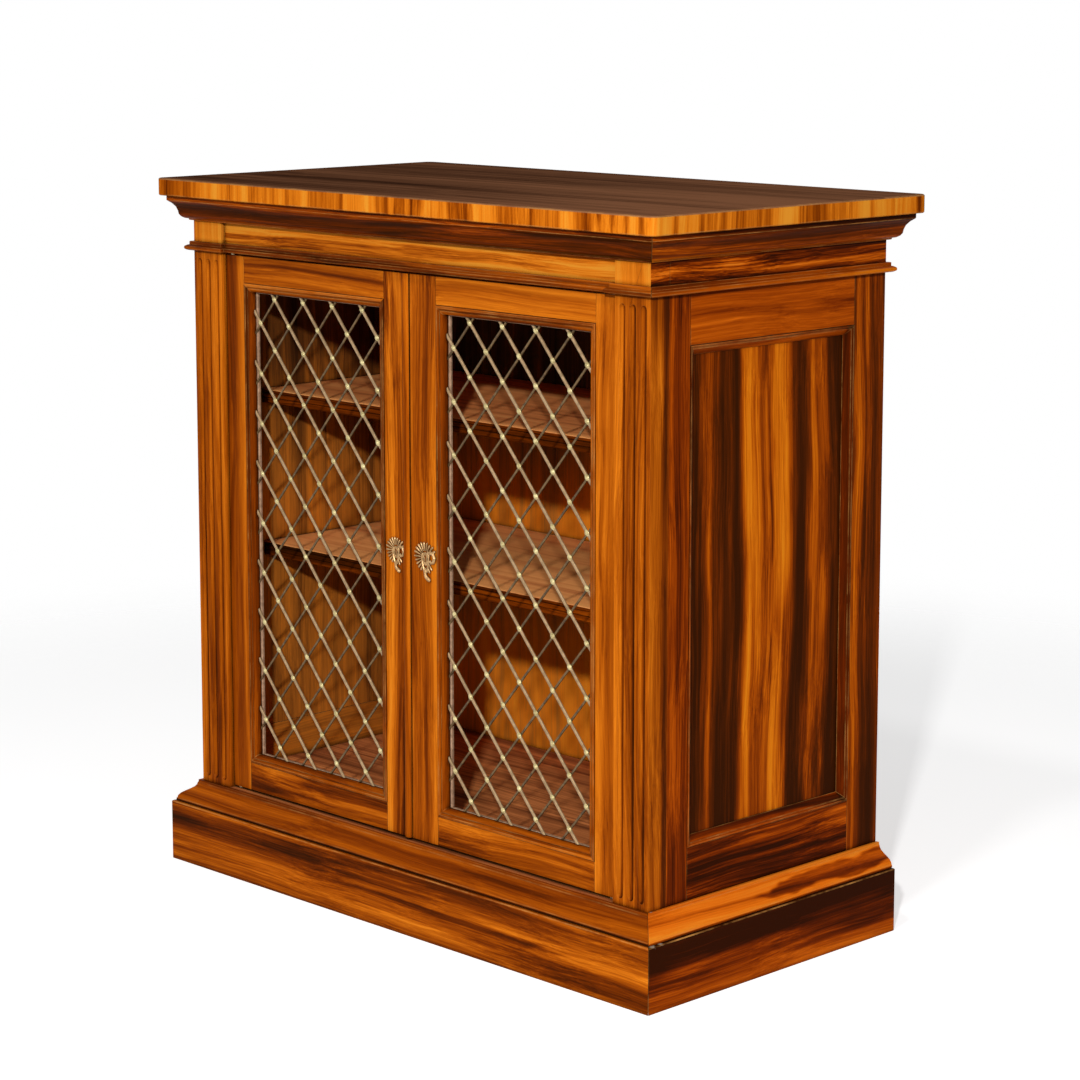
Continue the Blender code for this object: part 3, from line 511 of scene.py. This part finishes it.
def back_shift(graph):
    """Darker wood outside, and inside, painted shadow behind the frieze and under each shelf."""
    z = graph.at(Z)
    inner = graph.sum(*(graph.shade(z, *shade) for shade in BACK_PAINTED_SHADOWS))
    outside = graph.past(graph.at(Y), BACK_OUTSIDE)
    return graph.added(graph.product(inner, graph.inverse(outside)), outside, BACK_OUTER)


PANEL_FIGURE = (  # place from front to back, and tone
    (0, 0.40), (0.08, 0.39), (0.14, 0.53), (0.20, 0.51), (0.25, 0.39), (0.32, 0.40), (0.37, 0.60),
    (0.46, 0.60), (0.54, 0.69), (0.60, 0.58), (0.65, 0.38), (0.72, 0.38), (0.77, 0.56), (0.83, 0.54),
    (0.88, 0.40), (0.95, 0.39), (1, 0.45),
)


def panel_shift(graph):
    """Broad figure of the side panel, from front to back, a little darker below."""
    front, back = PANEL_Y
    share = graph.math("DIVIDE", graph.math("SUBTRACT", graph.at(Y), front), back - front)
    figure = graph.ramp(graph.stray(share, (1.0, 5.0, 3.2), 0.30), PANEL_FIGURE)
    low = graph.fall(graph.at(Z), *PANEL_LOW)
    return graph.added(graph.math("SUBTRACT", figure, 0.5), low, PANEL_LOW_DARK)


def plinth_front_shift(graph):
    """A dark streaky band that drifts down to the right."""
    level = graph.added(graph.at(Z), graph.at(X), PLINTH_BAND_FALL)
    level = graph.stray(level, (3.0, 1.0, 20.0), 0.05)
    return graph.sum(*(graph.shade(level, *shade) for shade in PLINTH_BAND))


def plinth_side_shift(graph):
    """Darker along the top."""
    level = graph.stray(graph.at(Z), (1.0, 5.0, 20.0), 0.05)
    return graph.shade(level, *PLINTH_HEAD)


def foot_shadow(graph):
    """A painted shadow line where the moulding meets the plinth's top."""
    return graph.product(graph.fall(graph.at(Z), *OGEE_FOOT), OGEE_FOOT_SHADOW)


def ogee_side_shift(graph):
    """A dark wavy streak that widens towards the back, and a painted shadow line at the foot."""
    y = graph.at(Y)
    level = graph.stray(graph.at(Z), (1.0, 14.0, 30.0), 0.024)
    away = graph.math("ABSOLUTE", graph.math("SUBTRACT", level, OGEE_STREAK_Z))
    beyond = graph.math("SUBTRACT", away, graph.shade(y, *OGEE_STREAK_HALF))
    streak = graph.product(graph.fall(beyond, *OGEE_STREAK_EDGE), graph.shade(y, *OGEE_STREAK_START))
    return graph.sum(foot_shadow(graph), streak)


# Covers: a second sheet over a part of a piece

FRIEZE_SIDE = dict(seed=7, tone=0.535, contrast=1.8, veins=1.2, colours=RED)


def lined(graph, colour, grain, seed):
    """The case's inner face, with painted shadow behind the frieze and under the upper shelf."""
    z = graph.at(Z)
    tone = graph.sum(*(graph.shade(z, *shade) for shade in SIDE_PAINTED_SHADOWS), 0.470)
    bare, _ = veneer(graph, graph.place, grain, seed + 40, tone, contrast=0.35, veins=0.2, colours=LINING)
    return graph.blend(graph.step(graph.out(X), INSIDE_X, INSIDE_X + 0.0004), bare, colour)


def crossed(graph, colour, *_):
    """The frieze's veneer, run over the post's return above the necking."""
    sheet, _ = veneer(graph, graph.place, Y, **FRIEZE_SIDE)
    above = graph.step(graph.at(Z), BLOCK_Z, BLOCK_Z + 0.001)
    return graph.blend(graph.product(above, graph.past(graph.out(X), HALF_W)), colour, sheet)


# Wooden pieces: grain axis and finish. A piece's place in the list is its seed, unless the finish gives one.
PLINTH_BRUISES = (((0.4290, -0.2250, 0.0780), 0.0050), ((0.4300, -0.2120, 0.0785), 0.0035))
OGEE_BRUISES = (((0.4030, -0.2000, 0.1065), 0.0030),)
NECKING_BRUISES = (((0.4060, -0.2040, 0.8080), 0.0022),)
PANEL = dict(tone=0.475, contrast=0.7, shift=panel_shift, cover=lined, colours=FIGURED)
WOODS = {
    "cornice_front": (X, dict(tone=0.485, contrast=0.75, wear_and_highlight=0.7, colours=FIGURED)),
    "cornice_back": (X, dict(tone=0.465, colours=RED)),
    "cornice_left": (Y, dict(tone=0.465, colours=RED)),
    "cornice_right": (Y, dict(tone=0.53, contrast=0.9, wear_and_highlight=0.8, colours=FIGURED)),
    "frieze_front": (X, dict(tone=0.785, contrast=1.3)),
    "frieze_back": (X, dict(tone=0.5)),
    "frieze_left": (Y, FRIEZE_SIDE),
    "frieze_right": (Y, FRIEZE_SIDE),
    "necking_front": (X, dict(tone=0.51, contrast=0.6, wear_and_highlight=0.5)),
    "necking_back": (X, dict(tone=0.50)),
    "necking_left": (Y, dict(tone=0.50)),
    "necking_right": (Y, dict(tone=0.57, contrast=0.5, wear_and_highlight=0.6, bruises=NECKING_BRUISES, colours=FIGURED)),
    "post_left": (Z, dict(tone=0.565, contrast=0.6, veins=0.2, shift=post_shift, cover=crossed)),
    "post_right": (Z, dict(tone=0.59, contrast=0.6, veins=0.2, shift=post_shift, cover=crossed)),
    "plinth_front": (X, dict(tone=0.49, contrast=0.75, wear_and_highlight=0.7, shift=plinth_front_shift)),
    "plinth_back": (X, dict(tone=0.5)),
    "plinth_left": (Y, dict(tone=0.56, contrast=0.65, shift=plinth_side_shift, colours=RED)),
    "plinth_right": (Y, dict(
        tone=0.487, contrast=0.65, veins=1.0, wear_and_highlight=0.8, shift=plinth_side_shift, bruises=PLINTH_BRUISES,
        colours=RED,
    )),
    "plinth_moulding_front": (X, dict(tone=0.47, contrast=0.40, shift=foot_shadow)),
    "plinth_moulding_left": (Y, dict(tone=0.60, contrast=0.55, shift=ogee_side_shift, colours=RED)),
    "plinth_moulding_right": (Y, dict(
        tone=0.685, contrast=0.55, veins=0.6, shift=ogee_side_shift, bruises=OGEE_BRUISES, colours=RED,
    )),
    "side_left_panel": (Z, PANEL),
    "side_right_panel": (Z, PANEL),
    "case_bottom": (X, dict(tone=0.43, contrast=0.45, veins=0.4, gloss=0.0, colours=SHELF)),
    "back_panel": (Z, dict(tone=0.56, contrast=0.35, veins=0.0, shift=back_shift, colours=INNER)),
    "astragal_bead": (Z, dict(tone=0.55, contrast=0.5, veins=0.0)),
}
for side in SIDES:
    prefix = f"side_{side}_"
    WOODS |= {
        prefix + "front_stile": (Z, dict(tone=0.515, contrast=0.8, cover=lined, colours=RED)),
        prefix + "rear_stile": (Z, dict(tone=0.45, contrast=0.8, cover=lined, colours=FIGURED)),
        prefix + "top_rail": (Y, dict(tone=0.585, contrast=0.5, cover=lined, colours=RED)),
        prefix + "bottom_rail": (Y, dict(tone=0.357, contrast=1.1, cover=lined, colours=RED)),
        prefix + "moulding": (Y, dict(
            tone=0.49, contrast=0.6, wear_and_highlight=0.6, shift=moulding_shift, cover=lined, colours=RED,
            frame_box=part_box(prefix + "moulding"),
        )),
    }
WOODS |= {
    "door_left_hinge_stile": (Z, dict(tone=0.61, contrast=0.35, shift=hinge_shade)),
    "door_right_hinge_stile": (Z, dict(tone=0.65, contrast=0.4, shift=hinge_shade)),
    "door_left_meeting_stile": (Z, dict(tone=0.45, contrast=0.9)),
    "door_right_meeting_stile": (Z, dict(tone=0.57, contrast=0.6)),
}
for side in SIDES:
    prefix = f"door_{side}_"
    WOODS |= {
        prefix + "top_rail": (X, dict(tone=0.57, contrast=0.5)),
        prefix + "bottom_rail": (X, dict(tone=0.53, contrast=0.7, veins=1.0)),
        prefix + "moulding": (X, dict(tone=0.50, contrast=0.5, wear_and_highlight=0.55, frame_box=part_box(prefix + "moulding"))),
    }


def smoothing_group():
    """Smooth faces, with the sharper edges kept sharp."""
    group = bpy.data.node_groups.new("smooth_by_angle", "GeometryNodeTree")
    group.interface.new_socket("Geometry", in_out="INPUT", socket_type="NodeSocketGeometry")
    group.interface.new_socket("Geometry", in_out="OUTPUT", socket_type="NodeSocketGeometry")
    start = group.nodes.new("NodeGroupInput")
    end = group.nodes.new("NodeGroupOutput")
    faces = group.nodes.new("GeometryNodeSetShadeSmooth")
    edges = group.nodes.new("GeometryNodeSetShadeSmooth")
    edges.domain = "EDGE"
    angle = group.nodes.new("GeometryNodeInputMeshEdgeAngle")
    gentle = group.nodes.new("FunctionNodeCompare")
    gentle.operation = "LESS_THAN"
    gentle.inputs["B"].default_value = radians(SHARP_ANGLE)
    group.links.new(start.outputs[0], faces.inputs["Geometry"])
    group.links.new(faces.outputs[0], edges.inputs["Geometry"])
    group.links.new(angle.outputs["Unsigned Angle"], gentle.inputs["A"])
    group.links.new(gentle.outputs[0], edges.inputs["Shade Smooth"])
    group.links.new(edges.outputs[0], end.inputs[0])
    return group


SMOOTHING = smoothing_group()


def modify(made, name, kind, **settings):
    modifier = made.modifiers.new(name, kind)
    for key, value in settings.items():
        setattr(modifier, key, value)


def dress(name, plain, rubbed, width=ARRIS):
    """Gives a CAD piece its material, and rounds its edges a little, the rounding in the second material."""
    node = NODES[name]
    node.data.materials.clear()
    node.data.materials.append(plain)
    node.data.materials.append(rubbed)
    modify(node, "weld", "WELD", merge_threshold=0.00001)
    modify(node, "flat", "DECIMATE", decimate_type="DISSOLVE", angle_limit=radians(0.5))
    modify(
        node, "arris", "BEVEL", width=width, segments=2, limit_method="ANGLE", angle_limit=radians(ARRIS_ANGLE),
        use_clamp_overlap=True, material=1,
    )
    modify(node, "smooth", "NODES", node_group=SMOOTHING)
    modify(node, "normals", "WEIGHTED_NORMAL", keep_sharp=True)


for number, (name, (grain, finish)) in enumerate(WOODS.items()):
    finish = {"seed": number, **finish}
    wear_and_highlight = finish.pop("wear_and_highlight", ARRIS_WEAR_AND_HIGHLIGHT)
    dress(name, wood(name, grain, **finish), wood(name + "_arris", grain, wear_and_highlight=wear_and_highlight, **finish))
dress("top_board", top_wood("top", 0.0), top_wood("top_arris", 0.6))
# The upper shelf's slightly lower tone is painted shade: the same wood, less lit
for name, seed, tone in (("shelf_lower", 80, 0.575), ("shelf_upper", 82, 0.56)):
    board = shelf_wood(name, seed, tone)
    dress(name, board, board)

# Lattice, in each door's plane: across, up and behind the door's face
DOOR_FACE = -0.197
SIGHT = {"left": (-0.3008, -0.0572), "right": (0.0572, 0.3008)}
SIGHT_Z = (0.1570, 0.7596)
FIRST_COLUMN = 0.0125
COLUMN = 0.02775
ROW = 0.0322
FIRST_ROW_Z = 0.7530
ROWS = 19
COLUMNS = 9
ROD_CLEAR = 0.0011  # rods' ends inside the sight edge
SHORTEST_ROD = 0.3  # in columns
BAR_W = (0.0004, 0.0040)  # bar round the lattice, inside the sight edge
BAR_DEPTH = (0.0090, 0.0128)
BAR_THIN = 0.35  # of its width at the left, on the other sides
BAR_STEPS = 6
FRONT_ROD = (0.0020, 0.0062, 0.0082)  # half width, crown and back
REAR_ROD = (0.0014, 0.0078, 0.0094)
ROD_EDGE = 0.0005  # thickness of a rod's edges
ROD_STEPS = 8
ROD_FLATNESS = 0.45
STUD_RINGS = (  # half length, half width and depth, from the back to the crown
    (0.0038, 0.0030, 0.0078),
    (0.0042, 0.0034, 0.0066),
    (0.0038, 0.0031, 0.0060),
    (0.0029, 0.0023, 0.0058),
    (0.0028, 0.0022, 0.0054),
    (0.0023, 0.0018, 0.0050),
    (0.0012, 0.0009, 0.0048),
)
STUD_SIDES = 14
ROD_BRASS = brass("rod_brass", (0.45, 0.295, 0.150), (0.31, 0.200, 0.095), 0.50, 0.4)
# The rear rods are the front rods' brass painted darker: painted shade
REAR_BRASS_SHADED = brass("rear_rod_brass_shaded", (0.18, 0.108, 0.040), (0.085, 0.048, 0.017), 0.50, 0.4)
STUD_BRASS = brass("stud_brass", (0.70, 0.59, 0.29), (0.44, 0.35, 0.15), 0.36, 0.5)
BAR_BRASS = brass("bar_brass", (0.50, 0.30, 0.18), (0.33, 0.19, 0.11), 0.50, 0.3, crevice=0.0030)


def placed(name, data):
    """A new object in the scene."""
    made = bpy.data.objects.new(name, data)
    bpy.context.scene.collection.objects.link(made)
    return made


def mesh_of(name, bm):
    mesh = bpy.data.meshes.new(name)
    bm.to_mesh(mesh)
    bm.free()
    return mesh


def piece(name, bm, material, body, slot, *nodes, smooth=50):
    """The mesh as a piece of its own, riding on a body and standing for the CAD nodes named."""
    bmesh.ops.recalc_face_normals(bm, faces=bm.faces)
    for face in bm.faces:
        face.smooth = True
    for edge in bm.edges:
        if len(edge.link_faces) == 2 and edge.calc_face_angle() > radians(smooth):
            edge.smooth = False
    made = placed(name, mesh_of(name, bm))
    made.data.materials.append(material)
    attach(made, body)
    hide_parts(*nodes)


def circle(count, turn=0.0):
    """Angles round a circle, the first one turned by a share of a step."""
    return [2 * pi * (i + turn) / count for i in range(count)]


def bridge(bm, rings, closed=False):
    """Skins rings of points in order, with end faces unless it closes on itself."""
    loops = [[bm.verts.new(point) for point in ring] for ring in rings]
    pairs = list(zip(loops, loops[1:]))
    if closed:
        pairs.append((loops[-1], loops[0]))
    for a, b in pairs:
        for i in range(len(a)):
            j = (i + 1) % len(a)
            bm.faces.new((a[i], a[j], b[j], b[i]))
    if not closed:
        bm.faces.new(loops[0])
        bm.faces.new(loops[-1][::-1])


def rod(bm, start, end, form):
    """A rod between two (across, up) points, run past both, crowned in front and flat behind."""
    half, crown, back = form
    run = (end - start).normalized()
    side = Vector((-run.y, run.x))
    edge = back - ROD_EDGE
    section = [(-half, back), (half, back)]
    for i in range(ROD_STEPS + 1):
        angle = pi * i / ROD_STEPS
        section.append((half * cos(angle), edge - (edge - crown) * sin(angle) ** ROD_FLATNESS))
    rings = []
    for at in (start - run * 3 * half, end + run * 3 * half):
        rings.append([(at.x + side.x * w, DOOR_FACE + depth, at.y + side.y * w) for w, depth in section])
    bridge(bm, rings)


def rods(left, right, slope, rows, form):
    """Parallel rods, cut off square with the opening, just inside its edge."""
    bm = bmesh.new()
    for row in rows:
        line = FIRST_ROW_Z - row * ROW - slope * (left + FIRST_COLUMN)
        crossings = sorted((z - line) / slope for z in SIGHT_Z)
        start, end = max(left, crossings[0]), min(right, crossings[1])
        if end - start >= SHORTEST_ROD * COLUMN:
            rod(bm, Vector((start, line + slope * start)), Vector((end, line + slope * end)), form)
    bmesh.ops.recalc_face_normals(bm, faces=bm.faces)
    for at, normal in (
        ((left + ROD_CLEAR, 0, 0), (-1, 0, 0)), ((right - ROD_CLEAR, 0, 0), (1, 0, 0)),
        ((0, 0, SIGHT_Z[0] + ROD_CLEAR), (0, 0, -1)), ((0, 0, SIGHT_Z[1] - ROD_CLEAR), (0, 0, 1)),
    ):
        everything = bm.verts[:] + bm.edges[:] + bm.faces[:]
        bmesh.ops.bisect_plane(bm, geom=everything, plane_co=at, plane_no=normal, clear_outer=True)
        bmesh.ops.holes_fill(bm, edges=[edge for edge in bm.edges if edge.is_boundary])
    return bm


def studs(left):
    """A stud on each crossing, longer along the front rods."""
    bm = bmesh.new()
    run = Vector((COLUMN, -ROW)).normalized()
    for column in range(COLUMNS):
        for row in range((column + 1) % 2, ROWS, 2):
            x = left + FIRST_COLUMN + column * COLUMN
            z = FIRST_ROW_Z - row * ROW
            rings = []
            for long, short, depth in STUD_RINGS:
                ring = [(long * cos(angle), short * sin(angle)) for angle in circle(STUD_SIDES)]
                rings.append([
                    (x + run.x * u - run.y * w, DOOR_FACE + depth, z + run.y * u + run.x * w) for u, w in ring
                ])
            bridge(bm, rings)
    return bm


def bar(left, right):
    """A rounded bar round the lattice, full at the left and thin on the other sides."""
    bm = bmesh.new()
    middle, half = sum(BAR_W) / 2, (BAR_W[1] - BAR_W[0]) / 2
    front, back = BAR_DEPTH
    shoulder = front + half * 0.6
    section = [(BAR_W[1], back), (BAR_W[0], back)]
    for i in range(BAR_STEPS + 1):
        angle = pi * i / BAR_STEPS
        section.append((middle - half * cos(angle), shoulder - (shoulder - front) * sin(angle)))
    rings = []
    for inside, depth in section:
        thin = inside * BAR_THIN
        x0, x1, z0, z1 = left + inside, right - thin, SIGHT_Z[0] + thin, SIGHT_Z[1] - thin
        rings.append([(x, DOOR_FACE + depth, z) for x, z in ((x0, z0), (x1, z0), (x1, z1), (x0, z1))])
    bridge(bm, rings, closed=True)
    return bm


def lattice(side):
    """Thick rods falling to the right over thin rising ones, with studs and a bar."""
    left, right = SIGHT[side]
    slope = ROW / COLUMN
    last = ROWS + COLUMNS
    for name, bm, material in (
        ("front_rods", rods(left, right, -slope, range(-ROWS, last, 2), FRONT_ROD), ROD_BRASS),
        ("rear_rods", rods(left, right, slope, range(-1, last + 3, 2), REAR_ROD), REAR_BRASS_SHADED),
        ("studs", studs(left), STUD_BRASS),
        ("bar", bar(left, right), BAR_BRASS),
    ):
        piece(f"lattice_{name}_{side}", bm, material, f"{side}_door", "lattice_brass", f"door_{side}_grille")


for side in SIDES:
    lattice(side)

# Escutcheons: cast shell work round a keyhole, as (across, up) from the keyhole
PLATE_FACE = -0.1973
PLATE_AT = {"left": (-0.0264, 0.4650, 0.9), "right": (0.0264, 0.4640, 1.0)}  # across, up and scale
CAST_VOXEL = 0.00026
COLLAR = (
    (0.0026, 0.0012), (0.0012, 0.0030), (-0.0012, 0.0030), (-0.0026, 0.0012), (-0.0019, -0.0016),
    (-0.0019, -0.0070), (0, -0.0088), (0.0019, -0.0070), (0.0019, -0.0016),
)
COLLAR_R = 0.0010
RAYS = (  # angle from the right in degrees, tip and inner radius, half width
    (62, 0.0178, 0.0070, 0.0016), (79, 0.0182, 0.0075, 0.0015), (96, 0.0184, 0.0075, 0.0016),
    (113, 0.0190, 0.0075, 0.0016), (130, 0.0192, 0.0075, 0.0017), (147, 0.0198, 0.0075, 0.0016),
    (164, 0.0200, 0.0075, 0.0016), (181, 0.0192, 0.0075, 0.0016), (198, 0.0180, 0.0075, 0.0016),
    (214, 0.0182, 0.0085, 0.0016), (230, 0.0186, 0.0095, 0.0015), (246, 0.0186, 0.0100, 0.0014),
    (45, 0.0200, 0.0075, 0.0016), (27, 0.0202, 0.0080, 0.0017), (309, 0.0192, 0.0095, 0.0015),
    (293, 0.0208, 0.0120, 0.0014),
)
RAY_SHAPE = ((0, 0.45), (0.35, 0.65), (0.75, 1.0), (0.92, 0.85), (1.0, 0.4))  # place and share of the width
SCROLLS = (  # points along each scroll as (across, up, radius)
    ((0.0052, 0.0058, 0.0018), (0.0096, 0.0066, 0.0024), (0.0144, 0.0050, 0.0025), (0.0166, 0.0004, 0.0025),
     (0.0150, -0.0046, 0.0024), (0.0108, -0.0060, 0.0022), (0.0082, -0.0036, 0.0017)),
    ((0.0040, 0.0056, 0.0014), (0.0062, 0.0020, 0.0015), (0.0060, -0.0040, 0.0015), (0.0054, -0.0096, 0.0017),
     (0.0044, -0.0140, 0.0017), (0.0026, -0.0180, 0.0016)),
    ((-0.0040, 0.0050, 0.0014), (-0.0056, 0.0008, 0.0015), (-0.0054, -0.0050, 0.0015), (-0.0040, -0.0104, 0.0017),
     (-0.0022, -0.0150, 0.0017), (-0.0004, -0.0190, 0.0017)),
    ((0.0004, -0.0130, 0.0014), (0.0002, -0.0185, 0.0021), (0.0006, -0.0222, 0.0023), (0.0030, -0.0248, 0.0026),
     (0.0064, -0.0270, 0.0027), (0.0090, -0.0284, 0.0018)),
)
WEB_R = (0.0038, 0.0074)  # thin web under the rays, round the keyhole
WEB_THICK = 0.0005
WEB_TALL = 1.12
WEB_DROP = 0.0022
WEB_SIDES = 32
CAST_SIDES = 8
CAST_HEIGHT = 1.25  # of a bead, in radii
CAST_BACK = 0.0001
PLATE_BRASS = brass("plate_brass", (0.60, 0.36, 0.15), (0.33, 0.18, 0.062), 0.34, 0.5, crevice=0.0030)


def cast_bead(bm, points, closed=False):
    """A bead along (across, up, radius) points, half sunk in the plate's back."""
    rings = []
    count = len(points)
    for i, (x, z, radius) in enumerate(points):
        before = points[i - 1] if i or closed else points[i]
        after = points[(i + 1) % count] if i + 1 < count or closed else points[i]
        run = Vector((after[0] - before[0], after[1] - before[1])).normalized()
        ring = []
        for angle in circle(CAST_SIDES, 0.5):
            w = radius * cos(angle)
            height = max(radius * CAST_HEIGHT * sin(angle), -CAST_BACK)
            ring.append((x - run.y * w, -height, z + run.x * w))
        rings.append(ring)
    bridge(bm, rings, closed)


def cast_form():
    """Collar, rays, scrolls and web of one plate, not yet joined."""
    bm = bmesh.new()
    cast_bead(bm, [(u, w, COLLAR_R) for u, w in COLLAR], closed=True)
    for turn, outer, inner, half in RAYS:
        u, w = cos(radians(turn)), sin(radians(turn))
        stations = [(inner + (outer - inner) * share, half * wide) for share, wide in RAY_SHAPE]
        cast_bead(bm, [(u * reach, w * reach, radius) for reach, radius in stations])
    for points in SCROLLS:
        cast_bead(bm, points)
    inner, outer = WEB_R
    rings = []
    for radius, depth in ((inner, 0), (inner, WEB_THICK), (outer, WEB_THICK), (outer, 0)):
        rings.append([
            (cos(angle) * radius, -depth, sin(angle) * radius * WEB_TALL - WEB_DROP) for angle in circle(WEB_SIDES)
        ])
    bridge(bm, rings, closed=True)
    bmesh.ops.recalc_face_normals(bm, faces=bm.faces)
    return bm


def fused(bm):
    """The form as one smooth skin."""
    rough = placed("cast", mesh_of("cast", bm))
    modify(rough, "fuse", "REMESH", mode="VOXEL", voxel_size=CAST_VOXEL)
    modify(rough, "ease", "SMOOTH", factor=0.5, iterations=2)
    skin = bpy.data.meshes.new_from_object(rough.evaluated_get(bpy.context.evaluated_depsgraph_get()))
    bpy.data.objects.remove(rough)
    return skin


PLATE = fused(cast_form())
for side, (x, z, scale) in PLATE_AT.items():
    plate = bmesh.new()
    plate.from_mesh(PLATE)
    to_door = Matrix.Translation((x, PLATE_FACE, z)) @ Matrix.Scale(scale, 4)
    bmesh.ops.transform(plate, matrix=to_door, verts=plate.verts)
    name = f"escutcheon_plate_{side}"
    piece(name, plate, PLATE_BRASS, f"{side}_door", "fittings_brass", f"escutcheon_{side}", smooth=80)

# Ironmongery: every other piece that shows
METAL = brass("brass", (0.60, 0.50, 0.31), (0.30, 0.23, 0.13), 0.36)
WOODEN = {*WOODS, *SHELF_TOPS, "top_board"}
for name, node in NODES.items():
    if name not in WOODEN and not node.hide_render:
        dress(name, METAL, METAL, METAL_ARRIS)

# Floor, light and camera
FLOOR_HALF = 6.0
FLOOR_FADE = (1.2, 2.2)  # the floor gives way to the white beyond it between these distances
FLOOR_WHITE = 0.60  # added where the camera sees the floor
WORLD_LIGHT = 0.17
LAMPS = {  # at, aimed at, width and watts
    "key": ((2.72, -3.20, 2.12), (0, -0.1, 0.45), 0.14, 130),
    "over": ((1.00, -1.90, 3.40), (0, -0.1, 0.6), 0.30, 22),
    "fill": ((-2.6, -3.0, 1.0), (0, -0.2, 0.5), 1.6, 8),
}
LENS = 100.888
SHIFT = -0.10
AZIMUTH = 45.377
PITCH = 8.657
CAMERA_AT = (2.6712, -2.6138, 1.1614)


def plain_floor():
    """A white floor that gives way to the white beyond it."""
    mesh = bpy.data.meshes.new("floor")
    corners = [(x * FLOOR_HALF, y * FLOOR_HALF, 0) for x, y in ((-1, -1), (1, -1), (1, 1), (-1, 1))]
    mesh.from_pydata(corners, [], [(0, 1, 2, 3)])
    floor = placed("floor", mesh)
    graph = Surface("floor")
    path = graph.add("ShaderNodeLightPath")
    seen = graph.math("MAXIMUM", path.outputs["Is Camera Ray"], path.outputs["Is Glossy Ray"])
    graph.set(
        Base_Color=(0.86, 0.86, 0.86), Roughness=0.9, Specular_IOR_Level=0.0,
        Emission_Color=(1.0, 1.0, 1.0), Emission_Strength=graph.product(seen, FLOOR_WHITE),
        Alpha=graph.fall(graph.vector("LENGTH", graph.place), *FLOOR_FADE),
    )
    mesh.materials.append(graph.material)


def white_world():
    """White where it is seen, and dimmer as light."""
    world = bpy.data.worlds.new("studio")
    bpy.context.scene.world = world
    graph = Graph(world)
    path = graph.add("ShaderNodeLightPath")
    seen = graph.math("MAXIMUM", path.outputs["Is Camera Ray"], path.outputs["Is Glossy Ray"])
    seen = graph.math("MAXIMUM", seen, path.outputs["Is Transmission Ray"])
    level = graph.add("ShaderNodeMapRange")
    level.inputs["To Min"].default_value = WORLD_LIGHT
    level.inputs["To Max"].default_value = 1.0
    graph.put(seen, level.inputs["Value"])
    background = graph.tree.nodes["Background"]
    graph.put((1.0, 1.0, 1.0), background.inputs["Color"])
    graph.put(level.outputs[0], background.inputs["Strength"])


plain_floor()
white_world()
for name, (at, aim, width, watts) in LAMPS.items():
    light = bpy.data.lights.new(name, "AREA")
    light.shape = "RECTANGLE"
    light.size = light.size_y = width
    light.energy = watts
    lamp = placed(name, light)
    lamp.location = at
    lamp.rotation_mode = "QUATERNION"
    lamp.rotation_quaternion = (Vector(aim) - Vector(at)).to_track_quat("-Z", "Y")

view = bpy.data.cameras.new("camera")
view.lens = LENS
view.sensor_width = 36.0
view.shift_y = SHIFT
camera = placed("camera", view)
camera.matrix_world = (
    Matrix.Translation(CAMERA_AT)
    @ Matrix.Rotation(radians(AZIMUTH), 4, "Z")
    @ Matrix.Rotation(radians(90 - PITCH), 4, "X")
)
bpy.context.scene.camera = camera
bpy.context.scene.view_settings.view_transform = "Standard"
